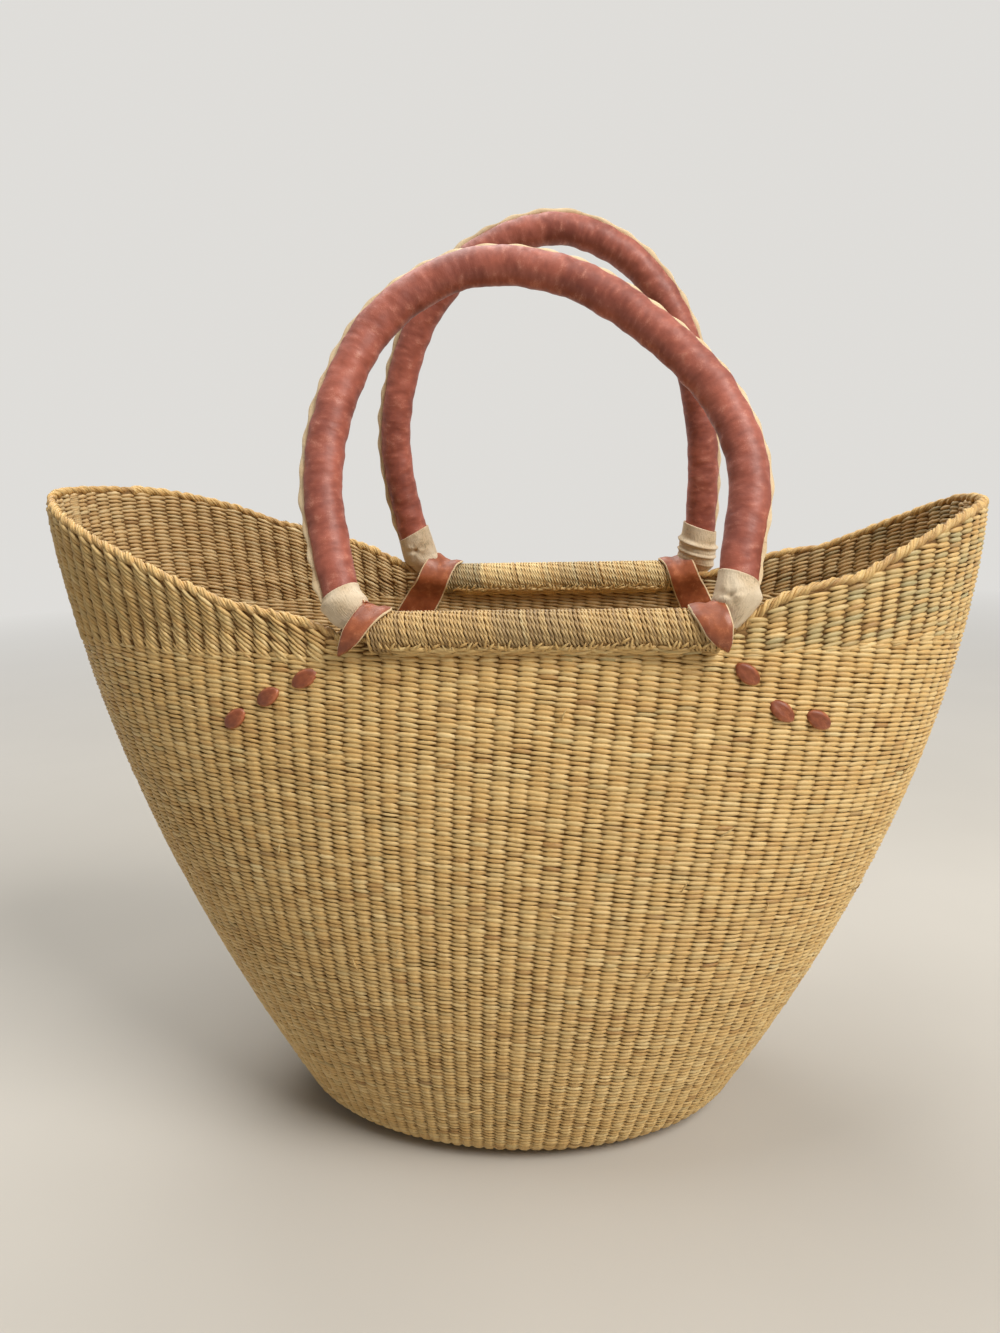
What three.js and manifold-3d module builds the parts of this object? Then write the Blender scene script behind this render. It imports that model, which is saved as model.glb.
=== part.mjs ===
// Winged straw tote bag: a twined oval basket with two raised end wings, a straw-wound
// rim rod on each long side, and two leather tube handles that swing on those rods.
// Millimetres, +Z up. The origin is under the middle of the base, with the front at -Y
// and the longer left wing at -X.

import * as THREE from 'three';
import { mergeVertices } from 'three/addons/utils/BufferGeometryUtils.js';
import Module from 'manifold-3d';

// Fits between pieces
const seatGap = 0.35;
const journalGap = 0.45;
const bowAllowance = 0.4;

// Woven body
const wallThickness = 5.5;
const baseHalfLength = 110;
const baseHalfDepth = 73;
const heelRadius = 13;
const heelShares = [0, 0.15, 0.5, 1];
const bellyHalfDepth = 105.5;
const baseRoundness = 2.0;
const mouthRoundness = 2.44;
const wallSections = 48;
const wallLevels = [0.18, 0.36, 0.56, 0.74, 0.84, 0.92];

// End wings, each with its reach from the base centre, its height and how soon it flares
const leftWing = { side: -1, reach: 229, height: 328, flare: 1.56, frontRise: 1.1, backRise: 2 };
const rightWing = { side: 1, reach: 226.5, height: 313, flare: 1.66, frontRise: 2, backRise: 1.1 };
const wingThickness = 5;
const wingLevels = 2;
const leastWingHeight = 2.5;
const braidRadius = 3.6;
const braidSteps = 30;
const braidSides = 8;

// Rim rods along the long sides
const rodHeight = 268;
const rodSpacing = 189;
const rodOffset = 24;
const coreRadius = 4.6;
const coreSides = 16;
const windingTubeRadius = 2.05;
const windingLoops = 20;
const windingSteps = 12;
const windingSides = 5;
const windingHalfLength = 59;
const windingLeadTurn = 0.25;

// Leather straps that saddle the rods beside the winding. The tails' stations are shares of
// the tail's drop, of its shift outboard and of the strap's width
const strapWidth = 12;
const strapThickness = 2;
const strapOuterTail = 6;
const strapInnerTail = 38;
const strapTailShift = 9;
const strapGap = 0.6;
const saddleSteps = 9;
const saddleOverlap = 26;
const outerStations = [[1, 1, 0.125], [0.62, 0.6, 0.6], [0.3, 0.2, 1]];
const innerStations = [[0.14, 0.2, 1], [0.5, 0.6, 1], [0.85, 0.95, 0.9], [1, 1, 0.5]];

// Lacing stitches, as [distance from the handle centre, drop below the rod axis]
const leftStitches = [[102, 19.5], [119.5, 28], [136, 38.5]];
const rightStitches = [[84.5, 18.5], [99, 34.5], [115, 39.5]];
const stitchLength = 12;
const stitchWidth = 7.5;
const stitchThickness = 3.4;
const stitchSlant = 28;
const stitchProfile = [[0, -1], [0.62, -0.55], [1, 0], [0.7, 0.5], [0, 1]];
const stitchSides = 8;

// Handles: a bent grass core inside a sewn leather tube. A crown's points are shares of the
// handle's reach to either side and of its height above the rod
const handleRadius = 8.8;
const leatherThickness = 1.4;
const coreLooseness = 0.45;
const handleReach = 96;
const frontHandle = {
  name: 'front', side: -1, height: 167, lean: 22,
  crown: [
    [-1, 0.4], [-0.95, 0.63], [-0.75, 0.86], [-0.36, 0.995],
    [0.1, 0.96], [0.5, 0.8], [0.79, 0.6], [0.9, 0.4],
  ],
};
const backHandle = {
  name: 'back', side: 1, height: 193, lean: 4,
  crown: [
    [-0.99, 0.4], [-0.93, 0.6], [-0.76, 0.79], [-0.45, 0.94],
    [0.02, 1], [0.42, 0.915], [0.7, 0.73], [0.85, 0.42],
  ],
};
const leftLegTilt = 14;
const rightLegTilt = 5;
const legLength = 30;
const handleSteps = 32;
const handleSides = 10;

// Scalloped welt along the outer edge of each handle
const weltThickness = 1.2;
const weltLowHeight = 1.4;
const weltHighHeight = 3.2;
const weltScallops = 32;
const weltStepsPerScallop = 3;

// Bindings: a wrapped sleeve on each handle foot that closes into an eye round the rod
const eyeWidth = 15;
const eyeWall = 3.4;
const sleeveLength = 25;
const sleeveWall = 1.7;
const sleeveNeckRadius = 7.2;
const neckLength = 9.5;
const footDepth = 15.5;
const bindingSides = 20;

// Worked-out places
const rodAxis = (side) => new THREE.Vector3(rodOffset, side * rodSpacing / 2, rodHeight);
const windingPathRadius = (coreRadius + seatGap + windingTubeRadius) / Math.cos(Math.PI / windingSteps);
const rodRadius = windingPathRadius + windingTubeRadius;
const seamHeight = rodHeight - rodRadius - seatGap;
const seatRadius = rodRadius - strapGap;
const strapStart = windingHalfLength + seatGap;
const eyeStart = strapStart + strapWidth + seatGap;
const eyeCentre = eyeStart + eyeWidth / 2;
const rodHalfLength = eyeStart + eyeWidth + seatGap;
const wingStart = rodHalfLength + braidRadius + wingThickness / 2;
const mouthHalfDepth = rodSpacing / 2 + wallThickness / 2;

// Woven body's form

function heelInset(height) {
  const fall = THREE.MathUtils.clamp(1 - height / heelRadius, 0, 1);
  return heelRadius * (1 - Math.sqrt(1 - fall * fall));
}

function wallReach(height, wing) {
  const climb = THREE.MathUtils.clamp(height / wing.height, 0, 1);
  const spread = 1 - Math.pow(1 - climb, wing.flare);
  return baseHalfLength + (wing.reach - baseHalfLength) * spread - heelInset(height);
}

function wallHalfDepth(height) {
  const climb = THREE.MathUtils.clamp(height / rodHeight, 0, 1);
  const low = baseHalfDepth * (1 - climb) * (1 - 2 * climb);
  const belly = bellyHalfDepth * 4 * climb * (1 - climb);
  const high = mouthHalfDepth * climb * (2 * climb - 1);
  return low + belly + high - heelInset(height);
}

// The section drifts from the base centre to the handle centre and grows squarer
function sectionAt(height, wing, inset) {
  const climb = THREE.MathUtils.clamp(height / rodHeight, 0, 1);
  const centre = rodOffset * climb;
  return {
    centre,
    halfLength: wallReach(height, wing) - wing.side * centre - inset,
    halfDepth: wallHalfDepth(height) - inset,
    roundness: THREE.MathUtils.lerp(baseRoundness, mouthRoundness, climb),
  };
}

function wallPoint(angle, height, inset) {
  const across = Math.cos(angle);
  const along = Math.sin(angle);
  const section = sectionAt(height, across < 0 ? leftWing : rightWing, inset);
  const power = 2 / section.roundness;
  return new THREE.Vector3(
    section.centre + section.halfLength * Math.sign(across) * Math.pow(Math.abs(across), power),
    section.halfDepth * Math.sign(along) * Math.pow(Math.abs(along), power),
    height,
  );
}

// Depth of the wall's face at a given place along its length
function wallDepth(x, height, inset) {
  const climb = THREE.MathUtils.clamp(height / rodHeight, 0, 1);
  const section = sectionAt(height, x < rodOffset * climb ? leftWing : rightWing, inset);
  const share = Math.abs(x - section.centre) / section.halfLength;
  return section.halfDepth * Math.pow(1 - Math.pow(share, section.roundness), 1 / section.roundness);
}

// Mesh helpers

function closedMesh(vertices, triangles) {
  const geometry = new THREE.BufferGeometry();
  geometry.setAttribute('position', new THREE.Float32BufferAttribute(vertices, 3));
  geometry.setIndex(triangles);
  geometry.computeVertexNormals();
  return geometry;
}

function signedVolume(rings, triangles) {
  const points = rings.flat();
  let sum = 0;
  for (let i = 0; i < triangles.length; i += 3) {
    const [a, b, c] = [points[triangles[i]], points[triangles[i + 1]], points[triangles[i + 2]]];
    sum += a.dot(new THREE.Vector3().crossVectors(b, c));
  }
  return sum / 6;
}

// Skins a row of point rings, either closed on itself or capped at both ends
function loft(rings, closesOnItself) {
  const count = rings[0].length;
  const triangles = [];
  const spans = closesOnItself ? rings.length : rings.length - 1;
  for (let i = 0; i < spans; i += 1) {
    const here = i * count;
    const next = ((i + 1) % rings.length) * count;
    for (let j = 0; j < count; j += 1) {
      const k = (j + 1) % count;
      triangles.push(here + j, next + j, next + k, here + j, next + k, here + k);
    }
  }
  if (!closesOnItself) {
    const last = (rings.length - 1) * count;
    for (let j = 1; j < count - 1; j += 1) {
      triangles.push(0, j, j + 1, last, last + j + 1, last + j);
    }
  }
  if (signedVolume(rings, triangles) < 0) {
    triangles.reverse();
  }
  return closedMesh(rings.flat().flatMap((point) => point.toArray()), triangles);
}

function circle(radius) {
  return new THREE.Shape().absarc(0, 0, radius, 0, 2 * Math.PI);
}

// A full arc is drawn with two segments for each one asked for
function tube(shape, path, steps, sides) {
  return new THREE.ExtrudeGeometry(shape, { steps, curveSegments: sides / 2, extrudePath: path });
}

// A turned form whose axis runs along X
function turnedAlongX(profile, sides) {
  const points = profile.map(([radius, place]) => new THREE.Vector2(radius, place));
  return new THREE.LatheGeometry(points, sides).rotateZ(-Math.PI / 2);
}

// Joining and cutting
const wasm = await Module();
wasm.setup();

function toSolid(geometry) {
  const bare = geometry.clone();
  bare.deleteAttribute('normal');
  bare.deleteAttribute('uv');
  const merged = mergeVertices(bare, 1e-4);
  return new wasm.Manifold(new wasm.Mesh({
    numProp: 3,
    vertProperties: new Float32Array(merged.attributes.position.array),
    triVerts: new Uint32Array(merged.index.array),
  }));
}

function toGeometry(solid) {
  const mesh = solid.getMesh();
  return closedMesh(Array.from(mesh.vertProperties), Array.from(mesh.triVerts));
}

// Materials
const straw = new THREE.MeshStandardMaterial({ color: 0xc4a36b, roughness: 0.75, metalness: 0 });
const paleStraw = new THREE.MeshStandardMaterial({ color: 0xd2b67e, roughness: 0.7, metalness: 0 });
const grass = new THREE.MeshStandardMaterial({ color: 0xa88c58, roughness: 0.85, metalness: 0 });
const redLeather = new THREE.MeshStandardMaterial({ color: 0x9c4a32, roughness: 0.45, metalness: 0 });
const brownLeather = new THREE.MeshStandardMaterial({ color: 0x86482a, roughness: 0.5, metalness: 0 });
const rawLeather = new THREE.MeshStandardMaterial({ color: 0xddd3bf, roughness: 0.7, metalness: 0 });

const tote = new THREE.Group();

function addPiece(group, name, geometry, material) {
  const mesh = new THREE.Mesh(geometry, material);
  mesh.name = name;
  group.add(mesh);
  return mesh;
}

// Basket body

function wallRing(angle) {
  const heelSteps = heelShares.map((share) => share * heelRadius);
  const levels = wallLevels.map((share) => share * seamHeight);
  const outer = [...heelSteps, ...levels, seamHeight].map((height) => wallPoint(angle, height, 0));
  const innerHeel = heelSteps.slice(1).map((height) => {
    const point = wallPoint(angle, height, wallThickness);
    point.z += wallThickness;
    return point;
  });
  const floor = wallPoint(angle, 0, wallThickness);
  const floorTop = floor.clone().setZ(wallThickness);
  const inner = [...levels, seamHeight].map((height) => wallPoint(angle, height, wallThickness));
  return [...outer, ...inner.reverse(), ...innerHeel.reverse(), floorTop, floor];
}

function wovenWall() {
  const angles = Array.from({ length: wallSections }, (_, i) => (i * 2 * Math.PI) / wallSections);
  return loft(angles.map(wallRing), true);
}

function baseMat() {
  const outline = Array.from({ length: wallSections }, (_, i) =>
    wallPoint((i * 2 * Math.PI) / wallSections, 0, wallThickness + seatGap));
  return loft([outline, outline.map((point) => point.clone().setZ(wallThickness))], false);
}

addPiece(tote, 'base_mat', baseMat(), straw);
addPiece(tote, 'woven_wall', wovenWall(), straw);

// Wings and their braided rims

// The rim climbs from the seam beside the rod's end to the wing's tip
class WingRim extends THREE.Curve {
  constructor(wing) {
    super();
    this.wing = wing;
    this.lowest = seamHeight + seatGap + braidRadius;
    this.farthest = wallReach(rodHeight, wing) - wing.side * rodOffset;
    const share = wingStart / this.farthest;
    this.opening = Math.acos(Math.pow(share, mouthRoundness / 2));
  }

  angleAt(share) {
    const middle = this.wing.side < 0 ? Math.PI : 0;
    return middle + this.wing.side * THREE.MathUtils.lerp(-this.opening, this.opening, share);
  }

  heightAt(angle) {
    const along = wallPoint(angle, rodHeight, 0).x - rodOffset;
    const share = (Math.abs(along) - wingStart) / (this.farthest - wingStart);
    const rise = Math.sin(angle) < 0 ? this.wing.frontRise : this.wing.backRise;
    const climb = 1 - Math.pow(1 - THREE.MathUtils.clamp(share, 0, 1), rise);
    return THREE.MathUtils.lerp(this.lowest, this.wing.height - braidRadius, climb);
  }

  getPoint(share, target = new THREE.Vector3()) {
    const angle = this.angleAt(share);
    return target.copy(wallPoint(angle, this.heightAt(angle), wingThickness / 2));
  }

  // Height of the wing's edge: the underside that the round braid sweeps past this place
  edgeAt(share) {
    const clear = braidRadius + seatGap + bowAllowance;
    const here = this.getPoint(share);
    const length = this.getLength();
    const probes = 16;
    let lowest = here.z - clear;
    for (let i = -probes; i <= probes; i += 1) {
      const near = THREE.MathUtils.clamp(share + (i * clear) / (probes * length), 0, 1);
      const point = this.getPoint(near);
      const run = Math.min(Math.hypot(point.x - here.x, point.y - here.y), clear);
      lowest = Math.min(lowest, point.z - Math.sqrt(clear * clear - run * run));
    }
    return lowest;
  }
}

function wingRing(rim, share) {
  const angle = rim.angleAt(share);
  const low = seamHeight + seatGap;
  const high = rim.edgeAt(share);
  const heights = Array.from({ length: wingLevels + 1 }, (_, i) =>
    THREE.MathUtils.lerp(low, high, i / wingLevels));
  const outer = heights.map((height) => wallPoint(angle, height, 0));
  const inner = heights.map((height) => wallPoint(angle, height, wingThickness));
  return [...outer, ...inner.reverse()];
}

// The panel has its sections where the braid has its own, so that the two stay parallel
function wingPanel(rim) {
  const lowest = seamHeight + seatGap + leastWingHeight;
  const shares = Array.from({ length: braidSteps + 1 }, (_, i) => rim.getUtoTmapping(i / braidSteps));
  const tall = shares.filter((share) => rim.edgeAt(share) > lowest);
  return loft(tall.map((share) => wingRing(rim, share)), false);
}

for (const [name, wing] of [['left', leftWing], ['right', rightWing]]) {
  const rim = new WingRim(wing);
  addPiece(tote, `${name}_wing`, wingPanel(rim), straw);
  addPiece(tote, `${name}_wing_braid`, tube(circle(braidRadius), rim, braidSteps, braidSides), paleStraw);
}

// Rim rods

// Stake bundle, thick under the straps and thin under the winding and the eyes
function rimCore() {
  const half = [
    [coreRadius, strapStart], [seatRadius, strapStart], [seatRadius, strapStart + strapWidth],
    [coreRadius, strapStart + strapWidth], [coreRadius, rodHalfLength], [0, rodHalfLength],
  ];
  const mirrored = half.map(([radius, place]) => [radius, -place]).reverse();
  return turnedAlongX([...mirrored, ...half], coreSides);
}

// One unbroken strand: it leaves each strap straight along the core for one strand's
// thickness, then turns into its loops, and its second half mirrors the first
function windingPath() {
  const straight = 2 * windingTubeRadius;
  const start = -windingHalfLength + straight;
  const turns = windingLoops + 2 * windingLeadTurn;
  const pitch = -2 * start / turns;
  const point = (along, turn) => new THREE.Vector3(
    along,
    windingPathRadius * Math.cos(2 * Math.PI * turn),
    windingPathRadius * Math.sin(2 * Math.PI * turn),
  );
  const bendPlace = 0.7 * windingLeadTurn * pitch;
  const bendTurn = 0.4 * windingLeadTurn;
  const head = [point(-windingHalfLength, 0), point(start, 0), point(start + bendPlace, bendTurn)];
  const loops = Array.from({ length: windingLoops * windingSteps + 1 }, (_, i) => {
    const turn = windingLeadTurn + i / windingSteps;
    return point(start + pitch * turn, turn);
  });
  const tail = [
    point(-start - bendPlace, turns - bendTurn), point(-start, turns), point(windingHalfLength, turns),
  ];
  return [...head, ...loops, ...tail];
}

function leastGapToItself(path, radius) {
  const apart = Math.PI * windingPathRadius;
  const places = [0];
  for (let i = 1; i < path.length; i += 1) {
    places.push(places[i - 1] + path[i].distanceTo(path[i - 1]));
  }
  let least = Infinity;
  for (let i = 0; i < path.length; i += 1) {
    for (let j = i + 1; j < path.length; j += 1) {
      if (places[j] - places[i] > apart) {
        least = Math.min(least, path[i].distanceTo(path[j]) - 2 * radius);
      }
    }
  }
  return least;
}

function ringRound(path, index) {
  const before = path[Math.max(index - 1, 0)];
  const after = path[Math.min(index + 1, path.length - 1)];
  const forward = after.clone().sub(before).normalize();
  const outward = new THREE.Vector3(0, path[index].y, path[index].z).normalize();
  const sideways = new THREE.Vector3().crossVectors(forward, outward).normalize();
  const upright = new THREE.Vector3().crossVectors(sideways, forward);
  return Array.from({ length: windingSides }, (_, i) => {
    const angle = (i * 2 * Math.PI) / windingSides;
    return path[index].clone()
      .addScaledVector(upright, windingTubeRadius * Math.cos(angle))
      .addScaledVector(sideways, windingTubeRadius * Math.sin(angle));
  });
}

const strand = windingPath();
console.log(`rim winding: least gap to itself ${leastGapToItself(strand, windingTubeRadius).toFixed(2)} mm`);

for (const [name, side] of [['front', -1], ['back', 1]]) {
  const rod = new THREE.Group();
  rod.position.copy(rodAxis(side));
  addPiece(rod, `${name}_rim_core`, rimCore(), grass);
  const rings = strand.map((_, index) => ringRound(strand, index));
  addPiece(rod, `${name}_rim_winding`, loft(rings, false), paleStraw);
  tote.add(rod);
}

// Straps

// One station of a strap on a face of the wall, shifted outboard and narrowed towards its tip
function strapOnWall(rodSide, end, drop, shift, width, inside) {
  const height = rodHeight - rodRadius - drop;
  const middle = rodOffset + end * (strapStart + strapWidth / 2 + shift);
  const edges = [middle - width / 2, middle + width / 2];
  const near = inside ? seatGap + bowAllowance : seatGap;
  const far = near + strapThickness;
  const place = (x, out) => {
    const face = inside ? wallDepth(x, height, wallThickness) - out : wallDepth(x, height, 0) + out;
    return new THREE.Vector3(x, rodSide * face, height);
  };
  return [place(edges[0], near), place(edges[1], near), place(edges[1], far), place(edges[0], far)];
}

function strapOnRod(rodSide, end, angle) {
  const axis = rodAxis(rodSide);
  const inner = seatRadius + seatGap;
  const outer = inner + strapThickness;
  const low = axis.x + end * (strapStart + strapWidth / 2) - strapWidth / 2;
  const place = (x, radius) => new THREE.Vector3(
    x, axis.y + rodSide * radius * Math.cos(angle), axis.z + radius * Math.sin(angle));
  const high = low + strapWidth;
  return [place(low, inner), place(high, inner), place(high, outer), place(low, outer)];
}

function strap(rodSide, end) {
  const below = THREE.MathUtils.degToRad(saddleOverlap);
  const saddle = Array.from({ length: saddleSteps + 1 }, (_, i) =>
    strapOnRod(rodSide, end, THREE.MathUtils.lerp(-below, Math.PI + below, i / saddleSteps)));
  const tail = (stations, length, inside) => stations.map(([drop, shift, width]) =>
    strapOnWall(rodSide, end, drop * length, shift * strapTailShift, width * strapWidth, inside));
  return loft([
    ...tail(outerStations, strapOuterTail, false),
    ...saddle,
    ...tail(innerStations, strapInnerTail, true),
  ], false);
}

// Lacing stitches, almond shaped, lying along the wall and slanting down outboard

function stitchForm() {
  const points = stitchProfile.map(([radius, place]) =>
    new THREE.Vector2(radius * stitchWidth / 2, place * stitchLength / 2));
  return new THREE.LatheGeometry(points, stitchSides).scale(1, 1, stitchThickness / stitchWidth);
}

function stitchGeometry(rodSide, end, [outboard, drop]) {
  const slant = THREE.MathUtils.degToRad(stitchSlant);
  const height = rodHeight - drop;
  const x = rodOffset + end * outboard;
  const step = 1;
  const face = (dx, dz) =>
    new THREE.Vector3(x + dx, rodSide * wallDepth(x + dx, height + dz, 0), height + dz);
  const along = face(step, 0).sub(face(-step, 0)).normalize();
  const up = face(0, step).sub(face(0, -step)).normalize();
  const out = new THREE.Vector3().crossVectors(along, up).normalize();
  if (out.y * rodSide < 0) {
    out.negate();
  }
  const lengthwise = along.clone()
    .multiplyScalar(end * Math.cos(slant))
    .addScaledVector(up, -Math.sin(slant))
    .normalize();
  const crosswise = new THREE.Vector3().crossVectors(lengthwise, out).normalize();
  const basis = new THREE.Matrix4().makeBasis(crosswise, lengthwise, out);
  const centre = face(0, 0).addScaledVector(out, stitchThickness / 2 + seatGap);
  return stitchForm().applyMatrix4(basis.setPosition(centre));
}

for (const [rodName, rodSide] of [['front', -1], ['back', 1]]) {
  for (const [endName, end, stitches] of [['left', -1, leftStitches], ['right', 1, rightStitches]]) {
    addPiece(tote, `${rodName}_${endName}_strap`, strap(rodSide, end), brownLeather);
    stitches.forEach((stitch, index) => {
      const name = `${rodName}_${endName}_stitch_${index + 1}`;
      addPiece(tote, name, stitchGeometry(rodSide, end, stitch), brownLeather);
    });
  }
}

// Handles

// Centre line in the handle's own plane, from one foot over the crown to the other
function handlePath(handle) {
  const leg = (end, tilt, distance) => {
    const angle = THREE.MathUtils.degToRad(tilt);
    return new THREE.Vector3(end * (eyeCentre + distance * Math.sin(angle)), 0, distance * Math.cos(angle));
  };
  const legPlaces = [footDepth, (footDepth + legLength) / 2, legLength];
  const crown = handle.crown.map(([across, up]) =>
    new THREE.Vector3(across * handleReach, 0, up * handle.height));
  return new THREE.CatmullRomCurve3([
    ...legPlaces.map((distance) => leg(-1, leftLegTilt, distance)),
    ...crown,
    ...legPlaces.map((distance) => leg(1, rightLegTilt, distance)).reverse(),
  ]);
}

function handleCover(path) {
  const ring = circle(handleRadius);
  ring.holes.push(new THREE.Path().absarc(0, 0, handleRadius - leatherThickness, 0, 2 * Math.PI, true));
  return tube(ring, path, handleSteps, handleSides);
}

function handleCore(path) {
  return tube(circle(handleRadius - leatherThickness - coreLooseness), path, handleSteps, handleSides);
}

// A raw leather edge standing on the outer side of the tube, cut in scallops
function handleWelt(path) {
  const steps = weltScallops * weltStepsPerScallop;
  const covered = (sleeveLength + weltThickness + seatGap - footDepth) / path.getLength();
  const rings = Array.from({ length: steps + 1 }, (_, i) => {
    const share = THREE.MathUtils.lerp(covered, 1 - covered, i / steps);
    const point = path.getPointAt(share);
    const forward = path.getTangentAt(share);
    const outward = new THREE.Vector3(-forward.z, 0, forward.x);
    const wave = Math.abs(Math.sin((Math.PI * i) / weltStepsPerScallop));
    const rise = THREE.MathUtils.lerp(weltLowHeight, weltHighHeight, wave);
    const low = handleRadius + seatGap;
    return [[low, -1], [low, 1], [low + rise, 1], [low + rise, -1]].map(([reach, face]) =>
      point.clone().addScaledVector(outward, reach).add(new THREE.Vector3(0, face * weltThickness / 2, 0)));
  });
  return loft(rings, false);
}

function handleBinding(end, tilt) {
  const boreRadius = coreRadius + journalGap;
  const eyeRadius = boreRadius + eyeWall;
  const half = eyeWidth / 2;
  const drum = (radius, reach) =>
    turnedAlongX([[0, -reach], [radius, -reach], [radius, reach], [0, reach]], bindingSides);
  const socketRadius = (handleRadius + journalGap) / Math.cos(Math.PI / bindingSides);
  const sleeveRadius = socketRadius + sleeveWall;
  const profile = [
    [0, 0], [sleeveNeckRadius, 0], [sleeveNeckRadius, neckLength],
    [sleeveRadius, footDepth - sleeveWall], [sleeveRadius, sleeveLength], [0, sleeveLength],
  ];
  const floor = footDepth - seatGap;
  const mouth = 2 * sleeveLength;
  const alongLeg = (points) => {
    const profilePoints = points.map(([radius, place]) => new THREE.Vector2(radius, place));
    return new THREE.LatheGeometry(profilePoints, bindingSides)
      .rotateX(Math.PI / 2)
      .rotateY(end * THREE.MathUtils.degToRad(tilt));
  };
  const sleeve = alongLeg(profile);
  const socket = alongLeg([[0, floor], [socketRadius, floor], [socketRadius, mouth], [0, mouth]]);
  const solid = toSolid(drum(eyeRadius, half)).add(toSolid(sleeve))
    .subtract(toSolid(drum(boreRadius, eyeWidth)))
    .subtract(toSolid(socket));
  return toGeometry(solid).translate(end * eyeCentre, 0, 0);
}

for (const handle of [frontHandle, backHandle]) {
  const group = new THREE.Group();
  group.position.copy(rodAxis(handle.side));
  group.rotation.x = handle.side * THREE.MathUtils.degToRad(handle.lean);
  const path = handlePath(handle);
  addPiece(group, `${handle.name}_handle_core`, handleCore(path), grass);
  addPiece(group, `${handle.name}_handle_cover`, handleCover(path), redLeather);
  addPiece(group, `${handle.name}_handle_welt`, handleWelt(path), rawLeather);
  addPiece(group, `${handle.name}_left_binding`, handleBinding(-1, leftLegTilt), rawLeather);
  addPiece(group, `${handle.name}_right_binding`, handleBinding(1, rightLegTilt), rawLeather);
  tote.add(group);
}

export default tote;
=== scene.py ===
"""Looks of a winged straw tote bag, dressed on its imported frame.

An oval body of twined grass carries two raised end wings, two straw-wound rim rods and two leather
tube handles. Lengths are in millimetres and become metres when a mesh is made. The frame's origin is
under the middle of the base, with +X to the right wing, -Y to the front and +Z up.
"""

from __future__ import annotations

import logging
import math
from collections.abc import Sequence
from dataclasses import dataclass
from enum import Enum
from typing import NamedTuple

import bmesh
import bpy
import numpy as np
from mathutils import Matrix, Vector

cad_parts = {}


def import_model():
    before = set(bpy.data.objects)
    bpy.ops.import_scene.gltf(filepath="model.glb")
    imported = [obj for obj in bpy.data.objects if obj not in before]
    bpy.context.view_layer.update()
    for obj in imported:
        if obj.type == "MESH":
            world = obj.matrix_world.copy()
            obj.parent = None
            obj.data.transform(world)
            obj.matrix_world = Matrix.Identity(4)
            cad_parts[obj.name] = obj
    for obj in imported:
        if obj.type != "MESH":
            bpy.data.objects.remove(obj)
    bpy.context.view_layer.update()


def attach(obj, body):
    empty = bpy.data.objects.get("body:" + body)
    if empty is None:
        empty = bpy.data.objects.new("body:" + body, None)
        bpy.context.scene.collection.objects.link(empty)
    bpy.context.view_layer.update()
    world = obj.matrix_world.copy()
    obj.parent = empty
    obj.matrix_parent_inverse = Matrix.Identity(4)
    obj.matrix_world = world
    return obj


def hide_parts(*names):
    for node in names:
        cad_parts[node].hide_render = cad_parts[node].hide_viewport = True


LOG = logging.getLogger("straw_tote")
MM = 0.001
FULL_TURN = 2 * math.pi
Array = np.ndarray
Socket = bpy.types.NodeSocket
Material = bpy.types.Material
Piece = bpy.types.Object
Colour = tuple[float, float, float, float]
Faces = list[tuple[int, ...]]


class Body(Enum):
    """Moving bodies of the frame."""

    BASKET = "basket"
    FRONT_HANDLE = "front_handle"
    BACK_HANDLE = "back_handle"


class Slot(Enum):
    """Material slots of the record."""

    GRASS = "woven_grass"
    STRAW = "pale_straw"
    STAKES = "stake_bundle"
    RED = "red_leather"
    BROWN = "brown_leather"
    RAW = "raw_leather"


class Side(Enum):
    """Long side of the basket, as the sign of its Y."""

    FRONT = -1
    BACK = 1

    @property
    def word(self) -> str:
        """The side's name in node names."""
        return self.name.lower()

    @property
    def handle(self) -> Body:
        """The handle's body on this side."""
        return Body.FRONT_HANDLE if self is Side.FRONT else Body.BACK_HANDLE


class End(Enum):
    """End of the basket, as the sign of its X."""

    LEFT = -1
    RIGHT = 1

    @property
    def word(self) -> str:
        """The end's name in node names."""
        return self.name.lower()


class Weft(NamedTuple):
    """Strands: their places, own and outward directions, tones, moss and sizes, one row for each."""

    place: Array
    along: Array
    outward: Array
    tone: Array
    moss: Array
    size: Array


def tint(red: float, green: float, blue: float) -> Colour:
    """Turns a display colour into a scene colour.

    Args:
        red, green, blue: Parts of the display colour, 0 to 255.

    Returns:
        The linear colour with full alpha.
    """
    shares = [part / 255 for part in (red, green, blue)]
    linear = [s / 12.92 if s <= 0.04045 else ((s + 0.055) / 1.055) ** 2.4 for s in shares]
    return (linear[0], linear[1], linear[2], 1.0)


def unit(vectors: Array) -> Array:
    """Scales vectors, along the last axis, to length 1."""
    return vectors / np.maximum(np.linalg.norm(vectors, axis=-1, keepdims=True), 1e-9)


def xyz(x: Array | float, y: Array | float, z: Array | float) -> Array:
    """Points or vectors from their parts, where a plain number serves them all."""
    return np.stack(np.broadcast_arrays(x, y, z), axis=-1)


def run_along(path: Array) -> Array:
    """Distance along a path at each of its points."""
    return np.concatenate([[0], np.cumsum(np.linalg.norm(np.diff(path, axis=0), axis=1))])


def ring_angles(count: int) -> Array:
    """Angles of evenly spaced places round a full turn."""
    return np.linspace(0, FULL_TURN, count, endpoint=False)


def bell(away: Array, spread: float) -> Array:
    """Bell curve, 1 where away is 0 and small past twice the spread."""
    return np.exp(-((away / spread) ** 2))


def tube_skin(run: Array, angle: Array, radius: float) -> Array:
    """Coordinates in millimetres along and round a tube, at every run and angle."""
    return xyz(run, radius * np.cos(angle), radius * np.sin(angle)).reshape(-1, 3)


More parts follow.
